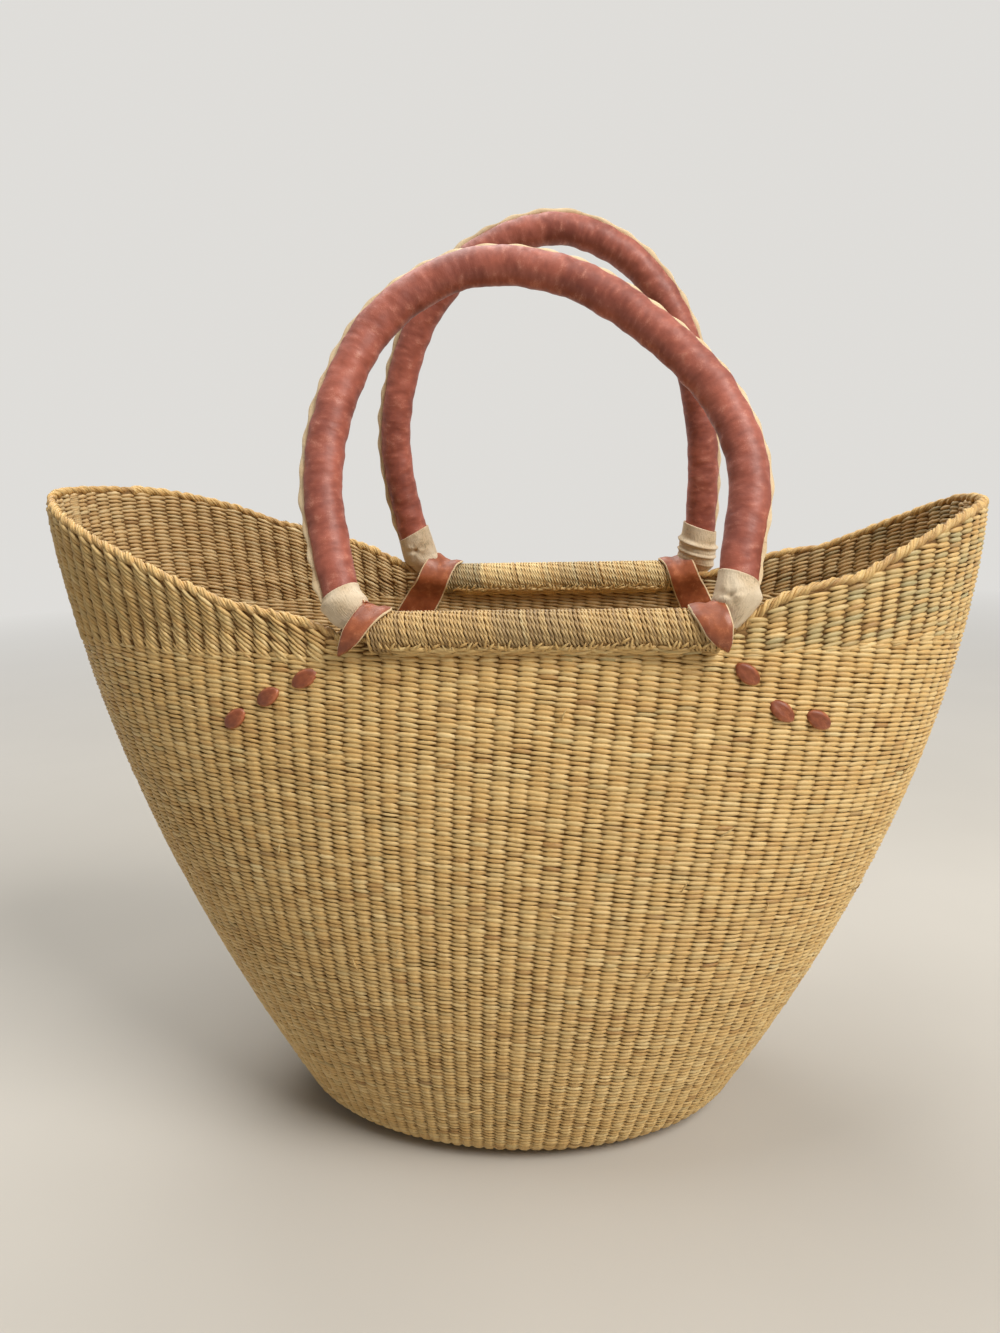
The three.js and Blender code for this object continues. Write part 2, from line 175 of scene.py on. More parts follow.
class Graph:
    """A node tree that is written as calls."""

    def __init__(self, tree: bpy.types.NodeTree) -> None:
        """Keeps the tree."""
        self.tree = tree

    def node(self, kind: str, settings: dict | None = None, inputs: dict | None = None) -> bpy.types.Node:
        """Adds a node.

        Args:
            kind: Type of the node.
            settings: Attributes that are set first; "stops" are a ramp's places and colours.
            inputs: Values or links of the sockets, by name or number.

        Returns:
            The new node.
        """
        node = self.tree.nodes.new(kind)
        for name, setting in (settings or {}).items():
            if name == "stops":
                self.set_stops(node.color_ramp, setting)
            else:
                setattr(node, name, setting)
        for name, value in (inputs or {}).items():
            self.feed(node.inputs[name], value)
        return node

    def made(
        self, kind: str, settings: dict | None = None, inputs: dict | None = None, give: int | str = 0
    ) -> Socket:
        """Adds a node and gives one of its outputs, the first unless another is named."""
        return self.node(kind, settings, inputs).outputs[give]

    def seen(self) -> Value:
        """1 for rays that the camera sees, directly or by reflection or refraction, else 0."""
        path = self.node("ShaderNodeLightPath")
        camera, glossy, clear = (
            Value(self, path.outputs[f"Is {kind} Ray"]) for kind in ("Camera", "Glossy", "Transmission")
        )
        return (camera + glossy + clear).between(0.0, 1.0)

    def feed(self, socket: Socket, value: object) -> None:
        """Links a socket to another socket or expression, or sets its own value."""
        source = value.socket if isinstance(value, Value) else value
        if isinstance(source, Socket):
            self.tree.links.new(source, socket)
        else:
            socket.default_value = source

    @staticmethod
    def set_stops(ramp: bpy.types.ColorRamp, stops: Sequence[tuple[float, Colour]]) -> None:
        """Gives a ramp its stops, each a place and a colour."""
        while len(ramp.elements) < len(stops):
            ramp.elements.new(1.0)
        for element, (place, shade) in zip(ramp.elements, stops):
            element.position = place
            element.color = shade


class Value:
    """A number socket that Python expressions work on."""

    def __init__(self, graph: Graph, socket: Socket) -> None:
        """Keeps the socket and its tree."""
        self.graph = graph
        self.socket = socket

    def math(self, operation: str, first: object, second: object) -> Value:
        """Adds a Math node on two numbers or expressions."""
        terms = {0: first, 1: second}
        return Value(self.graph, self.graph.made("ShaderNodeMath", {"operation": operation}, terms))

    def __add__(self, other: object) -> Value:
        """Sum."""
        return self.math("ADD", self, other)

    __radd__ = __add__

    def __sub__(self, other: object) -> Value:
        """Difference."""
        return self.math("SUBTRACT", self, other)

    def __rsub__(self, other: object) -> Value:
        """Difference from a plain number."""
        return self.math("SUBTRACT", other, self)

    def __mul__(self, other: object) -> Value:
        """Product."""
        return self.math("MULTIPLY", self, other)

    __rmul__ = __mul__

    def __pow__(self, other: object) -> Value:
        """Power."""
        return self.math("POWER", self, other)

    def between(self, low: float, high: float) -> Value:
        """Share of the way from low to high, kept from 0 to 1."""
        limits = {0: self, 1: low, 2: high, 3: 0.0, 4: 1.0}
        return Value(self.graph, self.graph.made("ShaderNodeMapRange", {"clamp": True}, limits))


class Paint(Graph):
    """Node tree of one material, which ends in one Principled surface."""

    def __init__(self, name: str) -> None:
        """Starts a material with its surface.

        Args:
            name: Name of the material.
        """
        self.material = bpy.data.materials.new(name)
        self.material.use_nodes = True
        super().__init__(self.material.node_tree)
        self.tree.nodes.clear()
        self.surface = self.node("ShaderNodeBsdfPrincipled")
        self.node("ShaderNodeOutputMaterial", None, {"Surface": self.surface.outputs["BSDF"]})

    def field(self, name: str) -> Value:
        """Number that the mesh holds at each point under a name."""
        return Value(self, self.made("ShaderNodeAttribute", {"attribute_name": name}, None, "Fac"))

    def skin(self, name: str) -> Socket:
        """Vector that the mesh holds at each point under a name."""
        return self.made("ShaderNodeAttribute", {"attribute_name": name}, None, "Vector")

    def place(self) -> Socket:
        """Object coordinates."""
        return self.made("ShaderNodeTexCoord", give="Object")

    def noise(self, where: Socket, scale: Sequence[float], detail: float) -> Value:
        """Adds a noise.

        Args:
            where: Coordinates that it reads.
            scale: Features per unit of those coordinates, along each axis.
            detail: Octaves.

        Returns:
            The noise, about 0.2 to 0.8.
        """
        spread = self.made("ShaderNodeMapping", None, {"Vector": where, "Scale": scale})
        inputs = {"Vector": spread, "Scale": 1.0, "Detail": detail}
        return Value(self, self.made("ShaderNodeTexNoise", None, inputs))

    def mix(self, share: object, first: object, second: object) -> Socket:
        """Mixes two colours, from the first at 0 to the second at 1."""
        return self.made("ShaderNodeMix", {"data_type": "RGBA"}, {0: share, 6: first, 7: second}, 2)

    def ramp(self, share: Value, stops: Sequence[tuple[float, Colour]]) -> Socket:
        """Colour of a ramp at a share."""
        return self.made("ShaderNodeValToRGB", {"stops": stops}, {0: share})

    def bump(self, height: Value, depth: float, strength: float = 1.0) -> Socket:
        """Normal of a relief whose depth is in millimetres."""
        relief = {"Height": height, "Distance": depth * MM, "Strength": strength}
        return self.made("ShaderNodeBump", None, relief, "Normal")

    def close(self, **sockets: object) -> Material:
        """Feeds the surface's sockets, with _ for a space in their names, and gives the material."""
        for name, value in sockets.items():
            self.feed(self.surface.inputs[name.replace("_", " ")], value)
        return self.material


@dataclass(frozen=True)
class GrassFinish:
    """Undyed grass strands: gold to tan, with painted shade where they dive under their neighbours."""

    name: str
    pale: Colour
    gold: Colour
    tan: Colour
    moss: Colour
    shade: Colour
    roughness: float = 0.5
    fibre_scale: float = 900.0
    fibre_tone: float = 0.25
    streak_scale: tuple[float, float, float] = (0.7, 2.6, 2.6)
    streak_tone: float = 0.45
    streak_spread: float = 40.0
    depth_shade: float = 0.58
    depth_power: float = 1.5

    def material(self) -> Material:
        """Builds the material, which reads the strands' own tone, moss and crest, and paints shade where
        the crest is low.

        Returns:
            The material.
        """
        paint = Paint(self.name)
        fibre = paint.noise(paint.place(), (self.fibre_scale,) * 3, 3.0)
        own = paint.field("tone")
        apart = {0: paint.skin("lay"), 1: own * self.streak_spread}
        lay = paint.made("ShaderNodeVectorMath", {"operation": "ADD"}, apart)
        streak = paint.noise(lay, self.streak_scale, 2.0)
        tone = own + (fibre - 0.5) * self.fibre_tone + (streak - 0.5) * self.streak_tone
        stops = [(0.05, self.tan), (0.5, self.gold), (0.95, self.pale)]
        straw = paint.ramp(tone.between(0.0, 1.0), stops)
        tinged = paint.mix(paint.field("moss"), straw, self.moss)
        # Painted shade: the colour moves towards the shade colour where the crest is low, in the gaps and
        # on undersides.
        depth = (1 - paint.field("crest")).between(0.25, 1.0) ** self.depth_power
        return paint.close(
            Base_Color=paint.mix(depth * self.depth_shade, tinged, self.shade),
            Roughness=self.roughness + (fibre - 0.5) * 0.3,
            Specular_IOR_Level=0.45,
            Normal=paint.bump(fibre * 0.6 + streak, 0.15, 0.6),
        )


@dataclass(frozen=True)
class GroundFinish:
    """Stakes and inner strands seen only in the gaps of the weave, painted darker than the strands as
    painted shade in those gaps.
    """

    name: str
    dark: Colour
    light: Colour

    def material(self) -> Material:
        """Builds the material from one noise, drawn out along the height.

        Returns:
            The material.
        """
        paint = Paint(self.name)
        grain = paint.noise(paint.place(), (400.0, 400.0, 900.0), 3.0)
        return paint.close(
            Base_Color=paint.mix(grain.between(0.3, 0.7), self.dark, self.light),
            Roughness=0.75 + grain * 0.15,
            Normal=paint.bump(grain, 0.4),
        )


@dataclass(frozen=True)
class LeatherFinish:
    """Vegetable-tanned leather with cross wrinkles, pores and sheen, painted shade in the wrinkles' hollows
    and a paler colour on their ridges that is partly rubbing, partly painted highlight.
    """

    name: str
    deep: Colour
    main: Colour
    rubbed: Colour
    roughness: float
    wrinkle_scale: tuple[float, float, float]
    wrinkle_depth: float
    cloud_scale: float = 0.05
    pore_scale: float = 2.2

    def material(self) -> Material:
        """Builds the material, which reads the piece's own skin coordinates in millimetres.

        Returns:
            The material.
        """
        paint = Paint(self.name)
        skin = paint.skin("skin")
        cloud = paint.noise(skin, (self.cloud_scale,) * 3, 3.0)
        wrinkle = paint.noise(skin, self.wrinkle_scale, 4.0)
        pore = paint.noise(skin, (self.pore_scale,) * 3, 2.0)
        # Deep colour in patches and in the wrinkles' hollows: the patches are the leather's own tone, the
        # hollows painted shade.
        patches_and_crease_shade = (cloud + (wrinkle - 0.5) * 0.7).between(0.35, 0.75)
        body = paint.mix(patches_and_crease_shade, self.deep, self.main)
        # Paler colour on the wrinkles' ridges and pores: partly rubbing, partly painted highlight.
        ridge = (wrinkle + (pore - 0.5) * 0.6).between(0.58, 0.85)
        return paint.close(
            Base_Color=paint.mix(ridge * 0.6, body, self.rubbed),
            Roughness=self.roughness + (pore - 0.5) * 0.25 + (0.5 - wrinkle) * 0.25,
            Specular_IOR_Level=0.5,
            Normal=paint.bump(wrinkle + pore * 0.25, self.wrinkle_depth),
        )


@dataclass(frozen=True)
class RawFinish:
    """Undyed leather: cream, fibrous, grey where it is handled."""

    name: str
    cream: Colour
    warm: Colour
    dirt: Colour
    dirt_from: float
    dirt_band: float = 0.16
    cloud_scale: float = 0.09
    fibre_scale: tuple[float, float, float] = (0.5, 1.6, 1.6)
    speck_scale: float = 0.9

    def material(self) -> Material:
        """Builds the material, which reads the piece's own skin coordinates in millimetres.

        Returns:
            The material.
        """
        paint = Paint(self.name)
        skin = paint.skin("skin")
        cloud = paint.noise(skin, (self.cloud_scale,) * 3, 3.0)
        fibre = paint.noise(skin, self.fibre_scale, 4.0)
        speck = paint.noise(skin, (self.speck_scale,) * 3, 4.0)
        body = paint.mix(cloud.between(0.35, 0.7), self.cream, self.warm)
        soiled = (speck * 0.6 + cloud * 0.5).between(self.dirt_from, self.dirt_from + self.dirt_band)
        return paint.close(
            Base_Color=paint.mix(soiled * 0.75, body, self.dirt),
            Roughness=0.72 + (fibre - 0.5) * 0.3,
            Specular_IOR_Level=0.35,
            Normal=paint.bump(fibre + speck * 0.4, 0.35),
        )


class Finishes:
    """Every material of the bag."""

    def __init__(self) -> None:
        """Makes the materials."""
        # The shade colour of each grass finish is painted shade, laid where a strand's crest is low.
        self.wall = GrassFinish(
            "woven_grass_outside", tint(242, 215, 156), tint(220, 182, 116), tint(178, 135, 80),
            moss=tint(176, 168, 124), shade=tint(120, 84, 40),
        ).material()
        self.lining = GrassFinish(
            "woven_grass_inside", tint(238, 214, 164), tint(212, 178, 124), tint(166, 130, 84),
            moss=tint(166, 156, 120), shade=tint(116, 84, 46),
        ).material()
        self.straw = GrassFinish(
            "wound_straw", tint(240, 214, 156), tint(210, 174, 114), tint(164, 134, 90),
            moss=tint(154, 146, 118), shade=tint(82, 62, 36), roughness=0.45,
        ).material()
        # Dark ground behind the strands: the real stakes, painted darker as painted shade in the gaps.
        self.ground = GroundFinish("stakes_in_the_gaps", tint(104, 74, 38), tint(146, 110, 62)).material()
        self.red = LeatherFinish(
            "red_leather", tint(136, 68, 52), tint(180, 100, 80), tint(212, 152, 130),
            roughness=0.5, wrinkle_scale=(0.3, 0.16, 0.16), wrinkle_depth=0.3,
        ).material()
        self.brown = LeatherFinish(
            "brown_leather", tint(132, 66, 36), tint(178, 100, 62), tint(214, 142, 100),
            roughness=0.4, wrinkle_scale=(0.25, 0.25, 0.25), wrinkle_depth=0.25,
        ).material()
        self.raw = RawFinish(
            "raw_leather", tint(226, 208, 180), tint(208, 183, 147), tint(146, 130, 106), dirt_from=0.6
        ).material()
        self.edge = RawFinish(
            "raw_leather_edge", tint(232, 210, 172), tint(216, 188, 146), tint(150, 112, 82), dirt_from=0.64
        ).material()


def new_piece(
    name: str,
    points: Array,
    faces: Sequence[Sequence[int]] = (),
    edges: Sequence[Sequence[int]] = (),
    fields: dict[str, Array] | None = None,
) -> Piece:
    """Makes an object at the origin with its place in its mesh.

    Args:
        name: Name of the object and its mesh.
        points: Places in millimetres.
        faces: Corner numbers of each face.
        edges: Point numbers of loose edges.
        fields: Numbers or vectors to keep at the points, by name.

    Returns:
        The object, smooth and with its faces pointing outwards.
    """
    mesh = bpy.data.meshes.new(name)
    mesh.from_pydata((np.asarray(points) * MM).tolist(), edges, faces)
    if faces:
        work = bmesh.new()
        work.from_mesh(mesh)
        bmesh.ops.recalc_face_normals(work, faces=work.faces)
        work.to_mesh(mesh)
        work.free()
        mesh.shade_smooth()
    for field_name, values in (fields or {}).items():
        vector = values.ndim == 2
        kind = "FLOAT_VECTOR" if vector else "FLOAT"
        data = mesh.attributes.new(field_name, kind, "POINT").data
        data.foreach_set("vector" if vector else "value", values.astype(np.float32).ravel())
    piece = bpy.data.objects.new(name, mesh)
    bpy.context.collection.objects.link(piece)
    return piece


def loft(rings: Array, closed: bool = False) -> tuple[Array, Faces]:
    """Joins rings of points into a skin.

    Args:
        rings: Points by ring and by place on the ring, which closes on itself.
        closed: Whether the last ring meets the first. Otherwise both ends are capped.

    Returns:
        The points and the faces.
    """
    count, sides, _ = rings.shape
    faces: Faces = []
    for ring in range(count if closed else count - 1):
        here = ring * sides
        there = (ring + 1) % count * sides
        for place in range(sides):
            beside = (place + 1) % sides
            faces.append((here + place, here + beside, there + beside, there + place))
    if not closed:
        faces.append(tuple(range(sides)))
        faces.append(tuple(range((count - 1) * sides, count * sides)))
    return rings.reshape(-1, 3), faces


def smooth_path(knots: Sequence[Sequence[float]], count: int) -> Array:
    """Runs a centripetal curve through points.

    Args:
        knots: The points, of any dimension.
        count: How many evenly spaced places to give.

    Returns:
        The places along the curve.
    """
    inner = np.asarray(knots, dtype=float)
    knots_out = np.vstack([2 * inner[0] - inner[1], inner, 2 * inner[-1] - inner[-2]])
    times = np.concatenate([[0], np.cumsum(np.linalg.norm(np.diff(knots_out, axis=0), axis=1) ** 0.5)])
    fine = []
    for i in range(1, len(knots_out) - 2):
        t0, t1, t2, t3 = times[i - 1 : i + 3]
        p0, p1, p2, p3 = knots_out[i - 1 : i + 3]
        t = np.linspace(t1, t2, 60, endpoint=i == len(knots_out) - 3)[:, None]
        a1 = (t1 - t) / (t1 - t0) * p0 + (t - t0) / (t1 - t0) * p1
        a2 = (t2 - t) / (t2 - t1) * p1 + (t - t1) / (t2 - t1) * p2
        a3 = (t3 - t) / (t3 - t2) * p2 + (t - t2) / (t3 - t2) * p3
        b1 = (t2 - t) / (t2 - t0) * a1 + (t - t0) / (t2 - t0) * a2
        b2 = (t3 - t) / (t3 - t1) * a2 + (t - t1) / (t3 - t1) * a3
        fine.append((t2 - t) / (t2 - t1) * b1 + (t - t1) / (t2 - t1) * b2)
    return spaced(np.vstack(fine), count)


def spaced(path: Array, count: int) -> Array:
    """Gives a path again at count evenly spaced places."""
    run = run_along(path)
    places = np.linspace(0, run[-1], count)
    return np.stack([np.interp(places, run, path[:, axis]) for axis in range(path.shape[1])], axis=1)


class Ripple:
    """Gentle seeded unevenness along and round a piece."""

    def __init__(self, seed: int, lengths: Sequence[float], folds: int) -> None:
        """Draws the waves.

        Args:
            seed: Fixed seed.
            lengths: Wave lengths along the piece in millimetres.
            folds: Most waves round the piece.
        """
        draw = np.random.default_rng(seed)
        self.lengths = np.asarray(lengths) * draw.uniform(0.8, 1.25, len(lengths))
        self.phases = draw.uniform(0, FULL_TURN, len(lengths))
        self.folds = draw.integers(-folds, folds + 1, len(lengths))

    def at(self, run: Array, angle: Array) -> Array:
        """Height from about -1 to 1 at a run along the piece and an angle round it."""
        total = np.zeros(np.broadcast(run, angle).shape)
        for length, phase, fold in zip(self.lengths, self.phases, self.folds):
            total = total + np.sin(FULL_TURN * run / length + phase + fold * angle)
        return total / math.sqrt(len(self.lengths))


class Growth(Graph):
    """A Geometry Nodes tree with named inputs."""

    def __init__(self, name: str, inputs: dict[str, str]) -> None:
        """Starts the tree.

        Args:
            name: Name of the tree.
            inputs: Kind of each named input.
        """
        super().__init__(bpy.data.node_groups.new(name, "GeometryNodeTree"))
        face = self.tree.interface
        face.new_socket("Geometry", in_out="INPUT", socket_type="NodeSocketGeometry")
        for label, kind in inputs.items():
            face.new_socket(label, in_out="INPUT", socket_type=f"NodeSocket{kind}")
        face.new_socket("Geometry", in_out="OUTPUT", socket_type="NodeSocketGeometry")
        self.entry = self.node("NodeGroupInput")

    def given(self, label: str) -> Socket:
        """Socket of a named input."""
        return self.entry.outputs[label]

    def kept(self, name: str, kind: str = "FLOAT_VECTOR") -> Socket:
        """Vectors, or numbers of another kind, that the points hold under a name."""
        return self.made("GeometryNodeInputNamedAttribute", {"data_type": kind}, {"Name": name})

    def end(self, geometry: Socket) -> None:
        """Realizes instances, sets the finish and closes the tree."""
        plain = self.made("GeometryNodeRealizeInstances", None, {"Geometry": geometry})
        finish = {"Geometry": plain, "Material": self.given("Finish")}
        dressed = self.made("GeometryNodeSetMaterial", None, finish)
        self.node("NodeGroupOutput", None, {"Geometry": dressed})

    def grow(self, piece: Piece, values: dict[str, object]) -> Piece:
        """Runs the tree on an object and leaves a plain mesh.

        Args:
            piece: Object whose mesh goes in.
            values: Values of the named inputs.

        Returns:
            The same object with the grown mesh.
        """
        modifier = piece.modifiers.new(self.tree.name, "NODES")
        modifier.node_group = self.tree
        for item in self.tree.interface.items_tree:
            if item.in_out == "INPUT" and item.name in values:
                modifier[item.identifier] = values[item.name]
        graph = bpy.context.evaluated_depsgraph_get()
        grown = bpy.data.meshes.new_from_object(
            piece.evaluated_get(graph), preserve_all_data_layers=True, depsgraph=graph
        )
        piece.modifiers.remove(modifier)
        seeded = piece.data
        piece.data = grown
        bpy.data.meshes.remove(seeded)
        grown.name = piece.name
        return piece


class Loom:
    """The two trees that make every strand: one scatters short ones, one sweeps long ones."""

    SWEPT_SIDES = 5

    def __init__(self) -> None:
        """Builds the trees."""
        self.scatter = self._scatter_tree()
        self.sweep = self._sweep_tree()

    @staticmethod
    def _scatter_tree() -> Growth:
        """Builds the tree that puts a strand on each point, turned and sized by what the point holds.

        Returns:
            The tree, with inputs for the strand, its random turn and seed, and the finish.
        """
        kinds = {"Strand": "Object", "Jitter": "Float", "Seed": "Int", "Finish": "Material"}
        growth = Growth("strand_scatter", kinds)
        source = {"Object": growth.given("Strand")}
        strand = growth.made("GeometryNodeObjectInfo", None, source, "Geometry")
        turn = growth.made(
            "FunctionNodeAxesToRotation",
            {"primary_axis": "X", "secondary_axis": "Z"},
            {"Primary Axis": growth.kept("along"), "Secondary Axis": growth.kept("outward")},
        )
        chance = growth.made(
            "FunctionNodeRandomValue",
            {"data_type": "FLOAT_VECTOR"},
            {0: (-1.0, -1.0, -1.0), 1: (1.0, 1.0, 1.0), "Seed": growth.given("Seed")},
        )
        share = {0: chance, "Scale": growth.given("Jitter")}
        swing = growth.made("ShaderNodeVectorMath", {"operation": "SCALE"}, share)
        wobble = growth.made("FunctionNodeEulerToRotation", None, {0: swing})
        both = {0: turn, 1: wobble}
        turned = growth.made("FunctionNodeRotateRotation", {"rotation_space": "LOCAL"}, both)
        laid = {"Points": growth.given("Geometry"), "Instance": strand, "Rotation": turned}
        laid["Scale"] = growth.kept("size")
        growth.end(growth.made("GeometryNodeInstanceOnPoints", None, laid))
        return growth

    @staticmethod
    def _sweep_tree() -> Growth:
        """Builds the tree that runs a round strand along each line, as thick as its points say.

        Returns:
            The tree, with inputs for the strand's sides and finish.
        """
        growth = Growth("strand_sweep", {"Sides": "Int", "Finish": "Material"})
        line = growth.made("GeometryNodeMeshToCurve", None, {"Mesh": growth.given("Geometry")})
        circle = {"Resolution": growth.given("Sides"), "Radius": 1.0}
        ring = growth.made("GeometryNodeCurvePrimitiveCircle", None, circle)
        sweep = {"Curve": line, "Profile Curve": ring, "Fill Caps": True}
        sweep["Scale"] = growth.kept("thickness", "FLOAT")
        swept = growth.made("GeometryNodeCurveToMesh", None, sweep)
        growth.end(growth.made("GeometryNodeSetShadeSmooth", None, {"Geometry": swept}))
        return growth

    def lay(
        self,
        name: str,
        strand: Piece,
        weft: Weft,
        finish: Material,
        jitter: float,
        seed: int,
    ) -> Piece:
        """Lays short strands.

        Args:
            name: Name of the piece.
            strand: Object of one strand of unit size.
            weft: The strands, in millimetres.
            finish: Material.
            jitter: Random turn in degrees.
            seed: Seed of that turn.

        Returns:
            The piece as a plain mesh.
        """
        fields = weft._replace(size=weft.size * MM)._asdict()
        piece = new_piece(name, fields.pop("place"), fields=fields)
        values = {"Strand": strand, "Jitter": math.radians(jitter), "Seed": seed, "Finish": finish}
        return self.scatter.grow(piece, values)

    def run(
        self,
        name: str,
        lines: Sequence[Array],
        looks: dict[str, Sequence[Array]],
        finish: Material,
    ) -> Piece:
        """Runs long strands.

        Args:
            name: Name of the piece.
            lines: Points of each strand's middle.
            looks: For those points, by name, the strand's thickness, which is its radius, its tone and
                moss, and its crest, which sets painted shade: the lower the crest, the darker the strand.
            finish: Material.

        Returns:
            The piece as a plain mesh.
        """
        edges = []
        first = 0
        for line in lines:
            edges += [(first + i, first + i + 1) for i in range(len(line) - 1)]
            first += len(line)
        fields = {key: np.concatenate(values) for key, values in looks.items()}
        fields["thickness"] = fields["thickness"] * MM
        piece = new_piece(name, np.vstack(lines), edges=edges, fields=fields)
        return self.sweep.grow(piece, {"Sides": self.SWEPT_SIDES, "Finish": finish})


@dataclass(frozen=True)
class Strand:
    """One short weft strand of unit size, whose pointed ends dive between its neighbours."""

    name: str
    stations: tuple[float, ...]
    sides: int = 5
    bow: float = 0.8
    arch: float = 0.2
    taper: float = 0.6

    def build(self) -> Piece:
        """Makes the closed mesh, whose crest runs from 0 in the gaps to 1 on the crown.

        Returns:
            The strand.
        """
        angles = math.pi / 2 + FULL_TURN * np.arange(self.sides) / self.sides
        rings = []
        lays = []
        for along in self.stations:
            girth = (1 - along**2) ** self.taper
            rise = girth * np.sin(angles) / 2 - self.bow * along**2
            aside = girth * np.cos(angles) / 2 - self.arch * along**2
            rings.append(xyz(along / 2, aside, rise))
            lays.append(xyz(along * 2, np.cos(angles), np.sin(angles)))
        points, faces = loft(np.array(rings))
        tip = len(points)
        last = tip - self.sides
        tips = [(-0.5, -self.arch, -self.bow), (0.5, -self.arch, -self.bow)]
        points = np.vstack([points, tips])
        lays.append(np.array([(-2.0, 0.0, 0.0), (2.0, 0.0, 0.0)]))
        faces = faces[:-2]
        for place in range(self.sides):
            beside = (place + 1) % self.sides
            faces.append((place, beside, tip))
            faces.append((last + place, last + beside, tip + 1))
        # The crest sets the painted shade: 0 where the ends dive into the gaps, 1 on the crown.
        crest = np.clip((points[:, 2] + 0.25) / 0.6, 0, 1)
        fields = {"crest": crest, "lay": np.vstack(lays)}
        return new_piece(self.name, points / MM, faces, fields=fields)


@dataclass(frozen=True)
class Corner:
    """Foot of a wing's rim: a step beside the binding, then a slope that eases off."""

    step: float
    start: float
    lift: float
    reach: float

    def height(self, out: Array, step_start: float) -> Array:
        """Height above the rim's lowest place, at distances from the rods' middle."""
        step = self.step * (1 - np.exp(-np.clip(out - step_start, 0, None) / 2))
        slope = self.lift * (1 - np.exp(-np.clip(out - self.start, 0, None) / self.reach))
        return np.maximum(step, slope)


@dataclass(frozen=True)
class Wing:
    """One raised end: how far and high its tip stands, and how its rim climbs."""

    end: End
    reach: float
    height: float
    flare: float
    front_rise: float
    back_rise: float
    front_corner: Corner
    back_corner: Corner
    tip_lift: float
    slant: float
    depth: float


